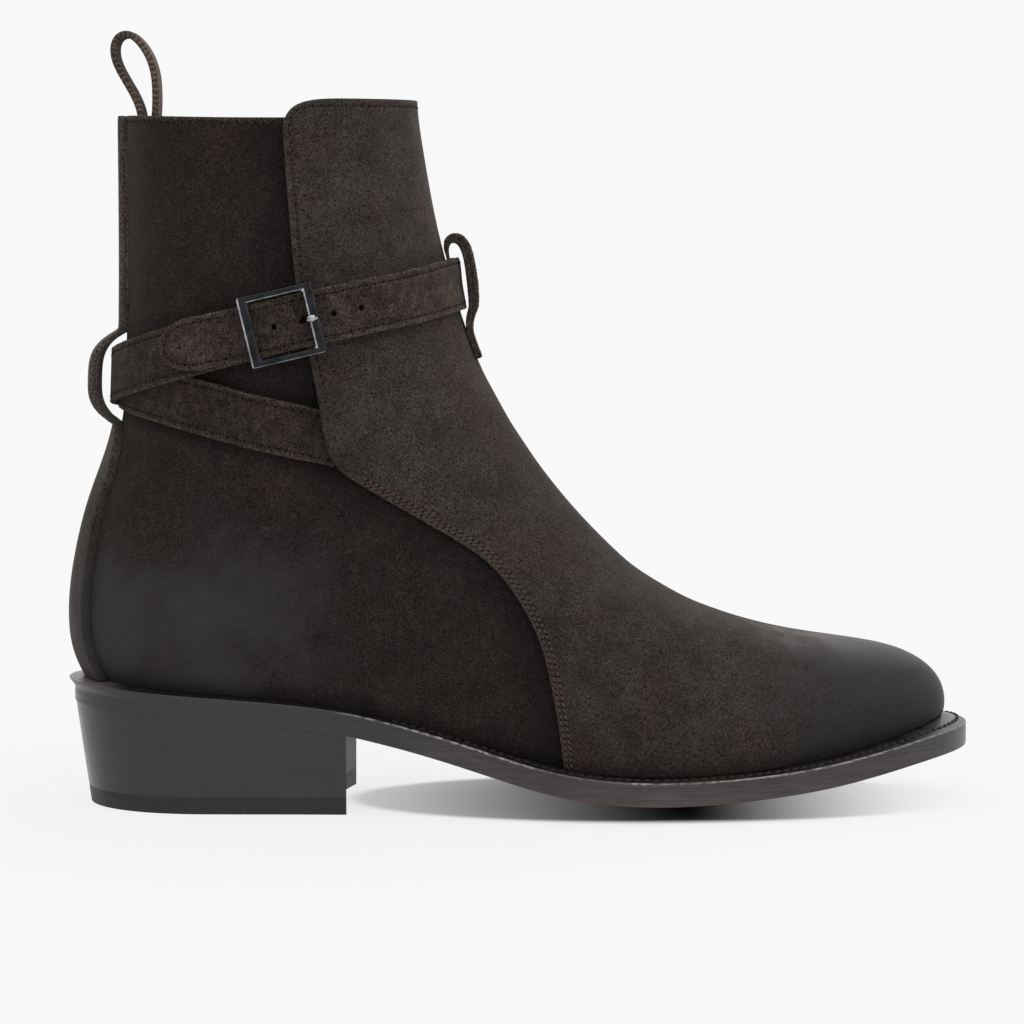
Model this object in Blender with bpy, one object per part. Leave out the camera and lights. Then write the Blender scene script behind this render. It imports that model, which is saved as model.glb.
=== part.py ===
"""Jodhpur boot for the right foot, at its real size.

+X points to the toe, +Y to the inner side of the foot and +Z up. The floor is z = 0 and the origin lies
under the middle of the sole. Tables and sizes are in millimetres, meshes in metres.
"""

import math
from collections import namedtuple
from functools import lru_cache

import bmesh
import bpy
import numpy as np
from mathutils import Matrix, Vector

MM = 0.001

# Driving sizes
GAP = 0.3
WALL = 2.2
PANEL_THICK = 1.6
PANEL_TOP = 234.4
PANEL_CORNER_WIDE = 13.0
PANEL_CORNER_TALL = 7.5
PANEL_EDGE_BAND = 2.6
SIDE_SHIFT = -1.4
TOE_SWING = 5.0
TOE_SWING_FROM = 0.3
BALL_SKEW = 0.03
BALL_SKEW_LEVEL = 0.3
WELT_THICK = 2.8
OUTSOLE_THICK = 4.6
INSOLE_RISE = 3.0
INSOLE_CLEAR = 1.3
HEEL_BREAST = -56.5
BREAST_HOLLOW = 5.0
HEEL_PITCH = 5.1
HEEL_TAPER = 0.06
TOP_PIECE_THICK = 5.4
STRIP_GAP = 0.5
STRIP_THICK = 2.2
STRIP_BELOW_COLLAR = 0.0
BOW_MIDDLE = 142.8
BOW_REACH = 16.0
BOW_ROUND = 3.4
BOW_OUT = 9.2
BOW_THICKER = 0.7
STRAP_HALF = 8.8
STRAP_THICK = 2.0
STRAP_TIP = 13.0
TIP_BLUNT = 0.93
TIP_ROUND = 2.2
HOLE_HALF = 1.4
HOLE_PITCH = 9.6
HOLE_COUNT = 4
BUCKLE_TURN = -0.767
PRONG_HOLE = 7.3
BUCKLE_LONG = 24.8
BUCKLE_TALL = 23.6
BUCKLE_BAR = 3.2
BUCKLE_RAIL = 2.3
BUCKLE_THICK = 2.0
BUCKLE_OVER = 0.5
BUCKLE_BEVEL = 0.55
BAR_UNDER = -1.4
BAR_BEND = 0.8
BAR_SUNK = 1.0
PRONG_RADIUS = 0.9
PRONG_BEND = 1.6
PRONG_NOSE = 0.3
PRONG_TIP = 2.4
KEEPER_HALF = 5.5
KEEPER_MIDDLE = 170.0
LOOP_HALF = 6.0

# How finely the pieces are divided
RINGS = 28
RING_SAMPLES = 161
QUARTER_COLUMNS = 10
QUARTER_EASE = 1.3
PANEL_COLUMNS = 9
PANEL_EASE = 1.25
SOLE_STATIONS = 32
SOLE_COLUMNS = 7
INSOLE_COLUMNS = 5
HEEL_STATIONS = 13
STRIP_COLUMNS = 7
STRAP_SAMPLES = 16
LONG_STRAP_ROWS = 50
ROW_CLEAR = 3.0
BUCKLE_STRAP_ROWS = 24
KEEPER_ROWS = 30
LOOP_ROWS = 38
ROD_SIDES = 8

# Side view of the quarters: back seam, ridge of the foot and shin, and feather line over the welt
Point = namedtuple("Point", "x z")
BACK_LINE = (
    Point(-143.8, 43.3),
    Point(-147.7, 51.5),
    Point(-148.8, 61.5),
    Point(-148.3, 72.0),
    Point(-145.9, 86.0),
    Point(-141.8, 101.5),
    Point(-136.8, 114.5),
    Point(-133.0, 127.0),
    Point(-131.2, 145.0),
    Point(-130.6, 168.0),
    Point(-130.3, 200.0),
    Point(-130.3, 229.4),
)
RIDGE_LINE = (
    Point(143.1, 29.9),
    Point(143.9, 34.6),
    Point(142.4, 39.8),
    Point(138.6, 44.2),
    Point(125.2, 50.3),
    Point(103.6, 53.0),
    Point(76.2, 58.6),
    Point(53.5, 67.4),
    Point(34.4, 80.3),
    Point(18.4, 96.5),
    Point(4.9, 113.1),
    Point(-5.4, 129.1),
    Point(-14.4, 145.7),
    Point(-22.2, 168.0),
    Point(-28.2, 189.8),
    Point(-33.4, 218.3),
    Point(-35.2, 229.4),
)
RIDGE_EASE = 1.35
FEATHER_LINE = (
    Point(-143.8, 43.0),
    Point(-90.0, 38.9),
    Point(-57.0, 35.2),
    Point(-37.0, 30.5),
    Point(-12.0, 23.7),
    Point(13.0, 17.6),
    Point(39.0, 14.7),
    Point(60.0, 14.9),
    Point(80.0, 16.2),
    Point(104.0, 19.5),
    Point(125.0, 24.5),
    Point(143.1, 29.6),
)
SAG_LEVEL = 0.5
COLLAR_DIP = 1.2
COLLAR_DIP_FROM = 0.7

# Edge of the front panel in the side view: sewn curve up from the welt, then the free flap
SEAM_CORNER = Point(-60.6, 114.8)
VAMP_SEAM = (
    Point(15.6, 14.0),
    Point(14.6, 24.0),
    Point(10.9, 43.3),
    Point(6.6, 59.0),
    Point(-1.4, 73.3),
    Point(-13.0, 86.2),
    Point(-29.5, 96.4),
    Point(-45.5, 105.4),
    SEAM_CORNER,
)
FLAP_EDGE = (
    SEAM_CORNER,
    Point(-62.6, 123.0),
    Point(-65.0, 138.0),
    Point(-70.9, 166.0),
    Point(-74.4, 200.0),
    Point(-76.5, 228.0),
    Point(-77.0, 240.0),
)

# Half widths of the tilted sections of the last, from the feather line (level 0) to the collar (level 1).
# Columns ending in _at are shares of the way from the back seam to the ridge.
Section = namedtuple(
    "Section",
    "level heel_at heel waist_at waist_lateral waist_medial ball_at ball_lateral ball_medial pinch",
)
SECTIONS = (
    Section(0.00, 0.125, 30.0, 0.40, 32.5, 22.5, 0.640, 46.0, 46.0, 0.08),
    Section(0.06, 0.132, 32.4, 0.40, 34.6, 26.5, 0.640, 48.5, 48.0, 0.15),
    Section(0.14, 0.150, 33.4, 0.40, 35.6, 31.0, 0.625, 41.5, 42.5, 0.25),
    Section(0.25, 0.190, 33.4, 0.41, 35.6, 33.5, 0.570, 36.8, 36.8, 0.25),
    Section(0.40, 0.260, 33.6, 0.42, 35.6, 34.6, 0.490, 35.8, 35.6, 0.27),
    Section(0.60, 0.360, 34.2, 0.43, 35.0, 34.6, 0.470, 35.0, 34.8, 0.20),
    Section(0.80, 0.440, 34.6, 0.47, 34.6, 34.6, 0.500, 34.6, 34.6, 0.08),
    Section(1.00, 0.470, 35.6, 0.49, 35.6, 35.6, 0.510, 35.6, 35.6, 0.00),
)

# Along the feather line: welt beyond the quarters, outsole set back from the welt, droop of the welt's rim
# and round of the bottom
Edge = namedtuple("Edge", "share margin tuck droop crown")
SOLE_EDGE = (
    Edge(0.00, 8.0, 2.3, 0.8, 0.0),
    Edge(0.05, 5.6, 1.2, 0.8, 0.0),
    Edge(0.12, 4.2, 0.4, 0.8, 0.0),
    Edge(0.30, 4.0, 0.2, 0.8, 0.0),
    Edge(0.45, 4.4, 0.2, 0.8, 3.0),
    Edge(0.56, 7.4, 0.2, 0.8, 5.6),
    Edge(0.65, 8.0, 0.2, 0.8, 7.0),
    Edge(0.72, 8.2, 0.2, 0.8, 6.9),
    Edge(0.85, 8.5, 0.2, 0.9, 4.0),
    Edge(0.95, 8.9, 0.2, 1.7, 1.4),
    Edge(1.00, 9.2, 0.2, 3.2, 0.0),
)

# Half width of the back strip by height
Strip = namedtuple("Strip", "z half")
BACK_STRIP = (
    Strip(43.0, 20.0),
    Strip(70.0, 18.0),
    Strip(100.0, 14.5),
    Strip(120.0, 11.0),
    Strip(128.0, 7.6),
    Strip(160.0, 7.2),
    Strip(232.0, 6.6),
)

# Strap routes: turn round the leg (0 back, +0.25 outer side, -0.25 inner side, -0.5 front),
# height of the middle line, clearance over the quarters and how far the strap follows their slope
Stop = namedtuple("Stop", "turn z lift follow", defaults=(1.0,))
LONG_ROUTE = (
    Stop(0.2185, 125.8, 0.6),
    Stop(0.160, 130.0, 0.6),
    Stop(0.090, 136.4, 0.6),
    Stop(0.000, 142.4, 0.6),
    Stop(-0.130, 150.0, 0.6),
    Stop(-0.200, 154.4, 1.0),
    Stop(-0.262, 158.6, 2.8),
    Stop(-0.340, 164.4, 2.8),
    Stop(-0.430, 170.4, 3.0, 0.75),
    Stop(-0.500, 173.7, 4.2, 0.38),
    Stop(-0.570, 171.2, 3.2, 0.75),
    Stop(-0.670, 166.6, 3.8),
    Stop(-0.762, 161.8, 4.1),
    Stop(-0.840, 157.2, 3.8),
    Stop(-0.874, 155.2, 5.2),
    Stop(-0.908, 153.2, 5.6),
)
BUCKLE_ROUTE = (
    Stop(-0.2195, 125.8, 0.6),
    Stop(-0.170, 129.4, 0.8),
    Stop(-0.130, 132.8, 3.0),
    Stop(-0.060, 138.6, 3.2),
    Stop(0.000, 142.4, 3.2),
    Stop(0.050, 147.2, 3.2),
    Stop(0.110, 152.8, 3.0),
    Stop(0.160, 156.6, 0.8),
    Stop(0.220, 160.6, 0.6),
)

# Front keeper and pull loop in the side view: middle line and thickness
Bend = namedtuple("Bend", "x z thick")
KEEPER_LINE = (
    Bend(-22.2, 178.0, 0.9),
    Bend(-23.1, 181.4, 0.9),
    Bend(-23.8, 184.6, 1.3),
    Bend(-23.8, 187.2, 2.4),
    Bend(-22.3, 188.9, 3.4),
    Bend(-20.0, 188.8, 3.7),
    Bend(-17.6, 186.0, 3.6),
    Bend(-16.2, 181.0, 3.6),
    Bend(-15.3, 175.0, 3.8),
    Bend(-14.8, 169.2, 3.7),
    Bend(-14.9, 163.4, 3.1),
    Bend(-15.3, 158.9, 2.5),
    Bend(-13.9, 154.0, 2.2),
    Bend(-12.1, 149.2, 2.3),
)
LOOP_LINE = (
    Bend(-125.4, 206.0, 1.8),
    Bend(-125.0, 220.0, 1.8),
    Bend(-124.8, 230.0, 1.8),
    Bend(-127.5, 237.0, 1.8),
    Bend(-131.1, 243.2, 1.8),
    Bend(-133.4, 248.6, 1.8),
    Bend(-133.5, 252.8, 1.8),
    Bend(-132.0, 255.6, 1.8),
    Bend(-129.2, 256.5, 1.8),
    Bend(-126.1, 254.7, 1.8),
    Bend(-122.8, 250.4, 1.8),
    Bend(-120.4, 244.0, 1.8),
    Bend(-119.8, 236.6, 1.8),
    Bend(-120.0, 230.0, 1.8),
    Bend(-121.6, 220.0, 1.8),
    Bend(-123.2, 206.0, 1.8),
)

FINISHES = {
    "waxed_suede": ((0.030, 0.025, 0.022), 0.62, 0.0),
    "strap_suede": ((0.034, 0.027, 0.023), 0.62, 0.0),
    "lining_leather": ((0.120, 0.070, 0.040), 0.55, 0.0),
    "welt_leather": ((0.055, 0.045, 0.042), 0.45, 0.0),
    "sole_leather": ((0.062, 0.050, 0.047), 0.40, 0.0),
    "heel_leather": ((0.035, 0.033, 0.033), 0.32, 0.0),
    "heel_rubber": ((0.020, 0.020, 0.020), 0.70, 0.0),
    "dark_nickel": ((0.160, 0.150, 0.145), 0.22, 1.0),
    "loop_webbing": ((0.110, 0.082, 0.066), 0.85, 0.0),
}


def spline(knots, values):
    """Natural cubic spline through a table's points, as a function."""
    knots = np.asarray(knots, float)
    values = np.asarray(values, float)
    step = np.diff(knots)
    rise = np.diff(values) / step
    system = np.eye(len(knots))
    right = np.zeros(len(knots))
    for i in range(1, len(knots) - 1):
        system[i, i - 1 : i + 2] = step[i - 1], 2.0 * (step[i - 1] + step[i]), step[i]
        right[i] = 6.0 * (rise[i] - rise[i - 1])
    bend = np.linalg.solve(system, right)

    def at(x):
        i = np.clip(np.searchsorted(knots, x) - 1, 0, len(step) - 1)
        after = (x - knots[i]) / step[i]
        before = 1.0 - after
        curve = (before**3 - before) * bend[i] + (after**3 - after) * bend[i + 1]
        return before * values[i] + after * values[i + 1] + curve * step[i] ** 2 / 6.0

    return at


def fair(knots, values):
    """Cubic curve through a table's points that never overshoots them, as a function."""
    knots = np.asarray(knots, float)
    values = np.asarray(values, float)
    step = np.diff(knots)
    rise = np.diff(values) / step
    slope = np.concatenate([[rise[0]], (rise[1:] + rise[:-1]) / 2.0, [rise[-1]]])
    turning = rise[1:] * rise[:-1] <= 0.0
    slope[1:-1][turning] = 0.0
    limit = 3.0 * np.minimum(np.abs(np.r_[rise, rise[-1]]), np.abs(np.r_[rise[0], rise]))
    slope = np.clip(slope, -limit, limit)

    def at(x):
        i = np.clip(np.searchsorted(knots, x) - 1, 0, len(step) - 1)
        t = np.clip((x - knots[i]) / step[i], 0.0, 1.0)
        ends = values[i] + (values[i + 1] - values[i]) * t * t * (3.0 - 2.0 * t)
        lean = slope[i] * (1.0 - t) - slope[i + 1] * t
        return ends + step[i] * t * (1.0 - t) * lean

    return at


def column(table, name):
    return [getattr(row, name) for row in table]


def running_length(points):
    """Distance along a line of points, from 0 at its start."""
    return np.concatenate([[0.0], np.cumsum(np.linalg.norm(np.diff(points, axis=0), axis=1))])


def smooth_line(table, count=400):
    """Dense line of (x, z) through a table's points, with its running length."""
    points = np.array([(row.x, row.z) for row in table])
    chord = running_length(points)
    dense = np.linspace(0.0, chord[-1], count)
    line = np.column_stack([spline(chord, points[:, 0])(dense), spline(chord, points[:, 1])(dense)])
    return line, running_length(line)


def along(line, run, share):
    """Point at a share of a line's length."""
    place = share * run[-1]
    return np.array([np.interp(place, run, line[:, axis]) for axis in range(line.shape[1])])


BACK, BACK_RUN = smooth_line(BACK_LINE)
RIDGE, RIDGE_RUN = smooth_line(RIDGE_LINE)
FEATHER = spline(column(FEATHER_LINE, "x"), column(FEATHER_LINE, "z"))
SECTION_AT = {name: spline(column(SECTIONS, "level"), column(SECTIONS, name)) for name in Section._fields}
EDGE_AT = {name: fair(column(SOLE_EDGE, "share"), column(SOLE_EDGE, name)) for name in Edge._fields}
SEAM_BELOW = fair(column(VAMP_SEAM, "z"), column(VAMP_SEAM, "x"))
SEAM_ABOVE = fair(column(FLAP_EDGE, "z"), column(FLAP_EDGE, "x"))
HALF_RING = 0.5 * (1.0 - np.cos(np.linspace(0.0, math.pi, RING_SAMPLES)))
HEEL_SEAT = BACK_LINE[0].z - WELT_THICK - OUTSOLE_THICK


def half_width(level, share, side):
    """Half width of a section, lateral (side -1) or medial (side +1), at shares from back to ridge."""
    at = {name: float(curve(level)) for name, curve in SECTION_AT.items()}
    waist = at["waist_lateral"] if side < 0 else at["waist_medial"]
    ball = at["ball_lateral"] if side < 0 else at["ball_medial"]
    ball_at = at["ball_at"] + side * BALL_SKEW * max(0.0, 1.0 - level / BALL_SKEW_LEVEL)
    stations = (0.0, at["heel_at"], at["waist_at"], ball_at, 1.0)
    body = fair(stations, (at["heel"], at["heel"], waist, ball, ball))(share)
    back = np.clip(1.0 - share / at["heel_at"], 0.0, 1.0)
    front = np.clip((share - ball_at) / (1.0 - ball_at), 0.0, 1.0)
    return body * np.sqrt(1.0 - back**2) * np.sqrt(1.0 - front**2) * (1.0 - at["pinch"] * front**2)


@lru_cache(maxsize=None)
def half_ring(level, side):
    """One side of the section at a level, back seam to ridge, with its running length."""
    inside = min(level, 1.0)
    back = along(BACK, BACK_RUN, inside)
    front = along(RIDGE, RIDGE_RUN, inside**RIDGE_EASE)
    share = HALF_RING
    x = back[0] + (front[0] - back[0]) * share
    straight = BACK[0, 1] + (RIDGE[0, 1] - BACK[0, 1]) * share
    sag = max(0.0, 1.0 - inside / SAG_LEVEL) ** 2
    foot = FEATHER(BACK[0, 0] + (RIDGE[0, 0] - BACK[0, 0]) * share)
    z = back[1] + (front[1] - back[1]) * share + sag * (foot + GAP - straight)
    dip = COLLAR_DIP * max(0.0, (inside - COLLAR_DIP_FROM) / (1.0 - COLLAR_DIP_FROM)) ** 2
    z = z + (level - inside) * BACK_RUN[-1] - dip * 4.0 * share * (1.0 - share)
    ahead = np.clip((share - TOE_SWING_FROM) / (1.0 - TOE_SWING_FROM), 0.0, 1.0)
    swing = TOE_SWING * (1.0 - inside) * ahead**2
    y = SIDE_SHIFT + swing + side * half_width(inside, share, side)
    points = np.column_stack([x, y, z])
    return points, running_length(points)


def ring_point(level, turn):
    """Point of the quarters' outer face: turn 0 at the back, 0.25 outer side, 0.5 ridge, 0.75 inner side."""
    turn = turn % 1.0
    side = -1 if turn <= 0.5 else 1
    share = 2.0 * (turn if side < 0 else 1.0 - turn)
    return along(*half_ring(level, side), share)


def outward(level, turn):
    """Unit normal of the quarters' outer face, level at the feather line."""
    reach = 0.004
    rise = 0.006
    level_below = 0.06
    low = max(level - rise, 0.0)
    around = ring_point(level, turn + reach) - ring_point(level, turn - reach)
    upward = ring_point(level + rise, turn) - ring_point(low, turn)
    normal = np.cross(around, upward)
    normal /= np.linalg.norm(normal)
    normal[2] *= min(1.0, level / level_below)
    return normal / np.linalg.norm(normal)


def skin(level, turn, out):
    """Point at a distance outside the quarters' outer face."""
    return ring_point(level, turn) + outward(level, turn) * out


def perimeter(level):
    return half_ring(level, -1)[1][-1] + half_ring(level, 1)[1][-1]


def seam_x(z):
    return np.where(z < SEAM_CORNER.z, SEAM_BELOW(z), SEAM_ABOVE(z))


def seam_turn(level, side):
    """Turn at which a section crosses the front panel's edge."""
    points, run = half_ring(level, side)
    ahead = points[:, 0] - seam_x(points[:, 2])
    first = int(np.argmax(ahead > 0.0))
    share = ahead[first - 1] / (ahead[first - 1] - ahead[first])
    place = run[first - 1] + share * (run[first] - run[first - 1])
    half = 0.5 * place / run[-1]
    return half if side < 0 else 1.0 - half


def level_at(turn, z):
    """Level whose section passes a height at a turn."""
    low, high = 0.0, 1.0
    for _ in range(30):
        middle = 0.5 * (low + high)
        low, high = (middle, high) if ring_point(middle, turn)[2] < z else (low, middle)
    return 0.5 * (low + high)


def ring_levels():
    """Levels of the upper's sections, one of them through the corner of the front panel."""
    levels = np.linspace(0.0, 1.0, RINGS)
    heights = [ring_point(level, seam_turn(level, -1))[2] for level in levels]
    corner = float(np.interp(SEAM_CORNER.z, heights, levels))
    levels[int(np.argmin(np.abs(levels - corner)))] = corner
    return [float(level) for level in levels]


def ring_turns(level):
    """Turns of a section's columns: outer quarter, panel with a band inside each edge, inner quarter."""
    quarter = (np.arange(QUARTER_COLUMNS) / QUARTER_COLUMNS) ** QUARTER_EASE
    panel = (np.arange(PANEL_COLUMNS - 1, 0, -1) / PANEL_COLUMNS) ** PANEL_EASE
    band = PANEL_EDGE_BAND / perimeter(level)
    halves = []
    for edge in (seam_turn(level, -1), 1.0 - seam_turn(level, 1)):
        halves.append(np.concatenate([edge * quarter, [edge, edge + band], 0.5 - (0.5 - edge) * panel]))
    return np.concatenate([halves[0], [0.5], 1.0 - halves[1][:0:-1]])


def finish(name):
    colour, roughness, metallic = FINISHES[name]
    material = bpy.data.materials.get(name) or bpy.data.materials.new(name)
    material.use_nodes = True
    shader = material.node_tree.nodes["Principled BSDF"]
    shader.inputs["Base Color"].default_value = (*colour, 1.0)
    shader.inputs["Roughness"].default_value = roughness
    shader.inputs["Metallic"].default_value = metallic
    return material


def add_piece(name, points, faces, material, smooth=True):
    """New object from points in millimetres; doubled points are merged and faces turned outward."""
    mesh = bpy.data.meshes.new(name)
    shape = bmesh.new()
    corners = [shape.verts.new(Vector(point) * MM) for point in points]
    for face in faces:
        shape.faces.new([corners[i] for i in face])
    bmesh.ops.remove_doubles(shape, verts=shape.verts, dist=1e-6)
    bmesh.ops.recalc_face_normals(shape, faces=shape.faces)
    if shape.calc_volume(signed=True) < 0.0:
        bmesh.ops.reverse_faces(shape, faces=shape.faces)
    shape.to_mesh(mesh)
    shape.free()
    if smooth:
        mesh.shade_smooth()
        mesh.set_sharp_from_angle(angle=math.radians(40.0))
    mesh.materials.append(finish(material))
    piece = bpy.data.objects.new(name, mesh)
    bpy.context.scene.collection.objects.link(piece)
    return piece


def grid_faces(rows, columns, start=0, wrap=False, skip=()):
    """Triangles of a grid of points stored row by row."""
    spans = columns if wrap else columns - 1
    faces = []
    for i in range(rows - 1):
        for j in range(spans):
            if (i, j) in skip:
                continue
            k = (j + 1) % columns
            low = start + i * columns
            high = low + columns
            faces.append((low + j, low + k, high + k))
            faces.append((low + j, high + k, high + j))
    return faces


def add_wall(name, outer, inner, material, wrap=False, skip=()):
    """Solid between two grids of the same size, closed along its rims and round any skipped cells."""
    outer = np.asarray(outer, float)
    inner = np.asarray(inner, float)
    rows, columns = outer.shape[:2]
    count = rows * columns
    points = np.concatenate([outer.reshape(-1, 3), inner.reshape(-1, 3)])
    faces = grid_faces(rows, columns, 0, wrap, skip)
    faces += [face[::-1] for face in grid_faces(rows, columns, count, wrap, skip)]
    uses = {}
    for face in grid_faces(rows, columns, 0, wrap, skip):
        for a, b in zip(face, (*face[1:], face[0])):
            uses.setdefault(frozenset((a, b)), []).append((a, b))
    for edge in uses.values():
        if len(edge) == 1:
            a, b = edge[0]
            faces.append((b, a, a + count, b + count))
    return add_piece(name, points, faces, material)


def add_upper(levels):
    turns = [ring_turns(level) for level in levels]
    outer = [[ring_point(level, turn) for turn in row] for level, row in zip(levels, turns)]
    inner = [[skin(level, turn, -WALL) for turn in row] for level, row in zip(levels, turns)]
    for outer_point, inner_point in zip(outer[0], inner[0]):
        inner_point[2] = outer_point[2]
    add_wall("upper", outer, inner, "waxed_suede", wrap=True)


def panel_turns(level):
    """Turns of the front panel's columns, which are the upper's own from edge to edge."""
    return ring_turns(level)[QUARTER_COLUMNS : QUARTER_COLUMNS + 2 * PANEL_COLUMNS + 3]


def add_front_panel(levels):
    """Vamp and shaft front in one layer; its top stands above the collar and its top corners are round."""
    straight = 0.88
    top_turns = panel_turns(1.0)
    edge_distance = np.minimum(top_turns - top_turns[0], top_turns[-1] - top_turns) * perimeter(1.0)
    short = np.clip(1.0 - edge_distance / PANEL_CORNER_WIDE, 0.0, 1.0)
    drop = PANEL_CORNER_TALL * (1.0 - np.sqrt(1.0 - short**2))
    collar = np.array([ring_point(1.0, turn)[2] for turn in top_turns])
    tops = 1.0 + (PANEL_TOP - drop - collar) / BACK_RUN[-1]
    highest = float(tops.max())
    outer = []
    inner = []
    for level in [*levels, highest]:
        turns = panel_turns(min(level, 1.0))
        stretch = np.clip((level - straight) / (highest - straight), 0.0, 1.0)
        places = np.where(stretch > 0.0, straight + stretch * (tops - straight), level)
        outer.append([skin(p, turn, GAP + PANEL_THICK) for p, turn in zip(places, turns)])
        inner.append([skin(p, turn, GAP) for p, turn in zip(places, turns)])
    add_wall("front_panel", outer, inner, "waxed_suede")


def add_back_strip():
    """Strip over the back seam, bowed away from it where the straps pass."""
    half = fair(column(BACK_STRIP, "z"), column(BACK_STRIP, "half"))
    low = BACK_LINE[0].z
    high = BACK_LINE[-1].z - STRIP_BELOW_COLLAR
    bow_low = BOW_MIDDLE - BOW_REACH
    bow_high = BOW_MIDDLE + BOW_REACH
    spans = ((low, bow_low, 10), (bow_low, bow_high, 11), (bow_high, high, 6))
    rows = [np.linspace(start, end, count, endpoint=False) for start, end, count in spans]
    heights = np.concatenate([*rows, [high]])
    places = np.linspace(-1.0, 1.0, STRIP_COLUMNS)
    outer = []
    inner = []
    for z in heights:
        level = float(np.interp(z, BACK[:, 1], BACK_RUN) / BACK_RUN[-1])
        bowed = 1.0 - min(abs(z - BOW_MIDDLE) / BOW_REACH, 1.0) ** BOW_ROUND
        bow = np.array([-BOW_OUT * bowed, 0.0, 0.0])
        thick = STRIP_THICK + BOW_THICKER * bowed
        turns = places * half(z) / perimeter(level)
        inner.append([skin(level, turn, STRIP_GAP) + bow for turn in turns])
        outer.append([skin(level, turn, STRIP_GAP + thick) + bow for turn in turns])
    add_wall("back_strip", outer, inner, "waxed_suede")


def bottom_outline(reach):
    """Lateral and medial outline of the bottom at each station: the feather line moved out by reach."""
    share = 0.5 * (1.0 - np.cos(np.linspace(0.0, math.pi, SOLE_STATIONS + 1)))
    sides = []
    for side in (-1, 1):
        points, _ = half_ring(0.0, side)
        run = np.gradient(points[:, :2], axis=0)
        normal = side * np.column_stack([-run[:, 1], run[:, 0]])
        normal /= np.linalg.norm(normal, axis=1)[:, None]
        moved = points[:, :2] + normal * reach(HALF_RING)[:, None]
        sides.append(np.column_stack([np.interp(share, HALF_RING, moved[:, axis]) for axis in (0, 1)]))
    bed = FEATHER(BACK[0, 0] + (RIDGE[0, 0] - BACK[0, 0]) * share)
    return share, sides[0], sides[1], bed


def plate_grid(outline, under, columns, droop=True, floor=None):
    """Points across the bottom at each station, at a depth under the feather line or the welt's rim."""
    across = np.linspace(-1.0, 1.0, columns)
    rows = []
    for s, left, right, z in zip(*outline):
        heights = z - under - EDGE_AT["crown"](s) * (1.0 - across**2)
        if droop:
            heights = heights - EDGE_AT["droop"](s)
        if floor is not None:
            heights = np.maximum(heights, floor)
        spots = left + (right - left) * (0.5 + 0.5 * across)[:, None]
        rows.append(np.column_stack([spots, heights]))
    return rows


def welt_reach(share):
    return EDGE_AT["margin"](share)


def outsole_reach(share):
    return EDGE_AT["margin"](share) - EDGE_AT["tuck"](share)


def add_insole():
    outline = bottom_outline(lambda share: np.full(len(share), -WALL - INSOLE_CLEAR))
    top = plate_grid(outline, -INSOLE_RISE, INSOLE_COLUMNS, droop=False)
    bottom = plate_grid(outline, WELT_THICK - GAP, INSOLE_COLUMNS, droop=False)
    add_wall("insole", top, bottom, "lining_leather")


def add_welt():
    """Band all round the boot, from under the quarters' wall to the sole's edge."""
    share, inner_l, inner_m, bed = bottom_outline(lambda share: np.full(len(share), -WALL))
    _, outer_l, outer_m, _ = bottom_outline(welt_reach)
    _, under_l, under_m, _ = bottom_outline(outsole_reach)
    inner = np.concatenate([inner_l, inner_m[-2:0:-1]])
    outer = np.concatenate([outer_l, outer_m[-2:0:-1]])
    under = np.concatenate([under_l, under_m[-2:0:-1]])
    height = np.concatenate([bed, bed[-2:0:-1]])
    rim = height - EDGE_AT["droop"](np.concatenate([share, share[-2:0:-1]]))
    top = [np.column_stack([inner, height]), np.column_stack([outer, rim])]
    bottom = [np.column_stack([inner, height - WELT_THICK]), np.column_stack([under, rim - WELT_THICK])]
    add_wall("welt", top, bottom, "welt_leather", wrap=True)


def add_outsole():
    """Full-length leather sole, round across under the ball with a flat spot on the floor."""
    outline = bottom_outline(outsole_reach)
    under_welt = WELT_THICK + GAP
    top = plate_grid(outline, under_welt, SOLE_COLUMNS)
    bottom = plate_grid(outline, under_welt + OUTSOLE_THICK, SOLE_COLUMNS, floor=0.0)
    add_wall("outsole", top, bottom, "sole_leather")


def heel_grid(height=None):
    """Points across the heel at a height, or against the sole; it tapers down and its breast is hollow."""
    share, lateral, medial, bed = bottom_outline(outsole_reach)
    last = float(np.interp(HEEL_BREAST, lateral[:, 0], share))
    stations = last * (1.0 - np.cos(np.linspace(0.0, math.pi / 2.0, HEEL_STATIONS)))
    across = np.linspace(-1.0, 1.0, SOLE_COLUMNS)
    back = lateral[0, 0]
    rows = []
    for s in stations:
        left = np.array([np.interp(s, share, lateral[:, axis]) for axis in (0, 1)])
        right = np.array([np.interp(s, share, medial[:, axis]) for axis in (0, 1)])
        rim = np.interp(s, share, bed) - EDGE_AT["droop"](s)
        z = rim - WELT_THICK - OUTSOLE_THICK - 2.0 * GAP if height is None else height
        down = 1.0 - z / HEEL_SEAT
        spots = left + (right - left) * (0.5 + 0.5 * across)[:, None]
        spots[:, 0] += HEEL_PITCH * down * (HEEL_BREAST - spots[:, 0]) / (HEEL_BREAST - back)
        spots[:, 1] *= 1.0 - HEEL_TAPER * down
        spots[:, 0] -= BREAST_HOLLOW * (1.0 - across**2) * (s / last) ** 3
        rows.append(np.column_stack([spots, np.full(len(across), z)]))
    return rows


def add_heel():
    """Stacked leather heel under the sole and the rubber piece that it walks on."""
    add_wall("heel_stack", heel_grid(), heel_grid(TOP_PIECE_THICK + GAP), "heel_leather")
    add_wall("heel_top_piece", heel_grid(TOP_PIECE_THICK), heel_grid(0.0), "heel_rubber")


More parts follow.
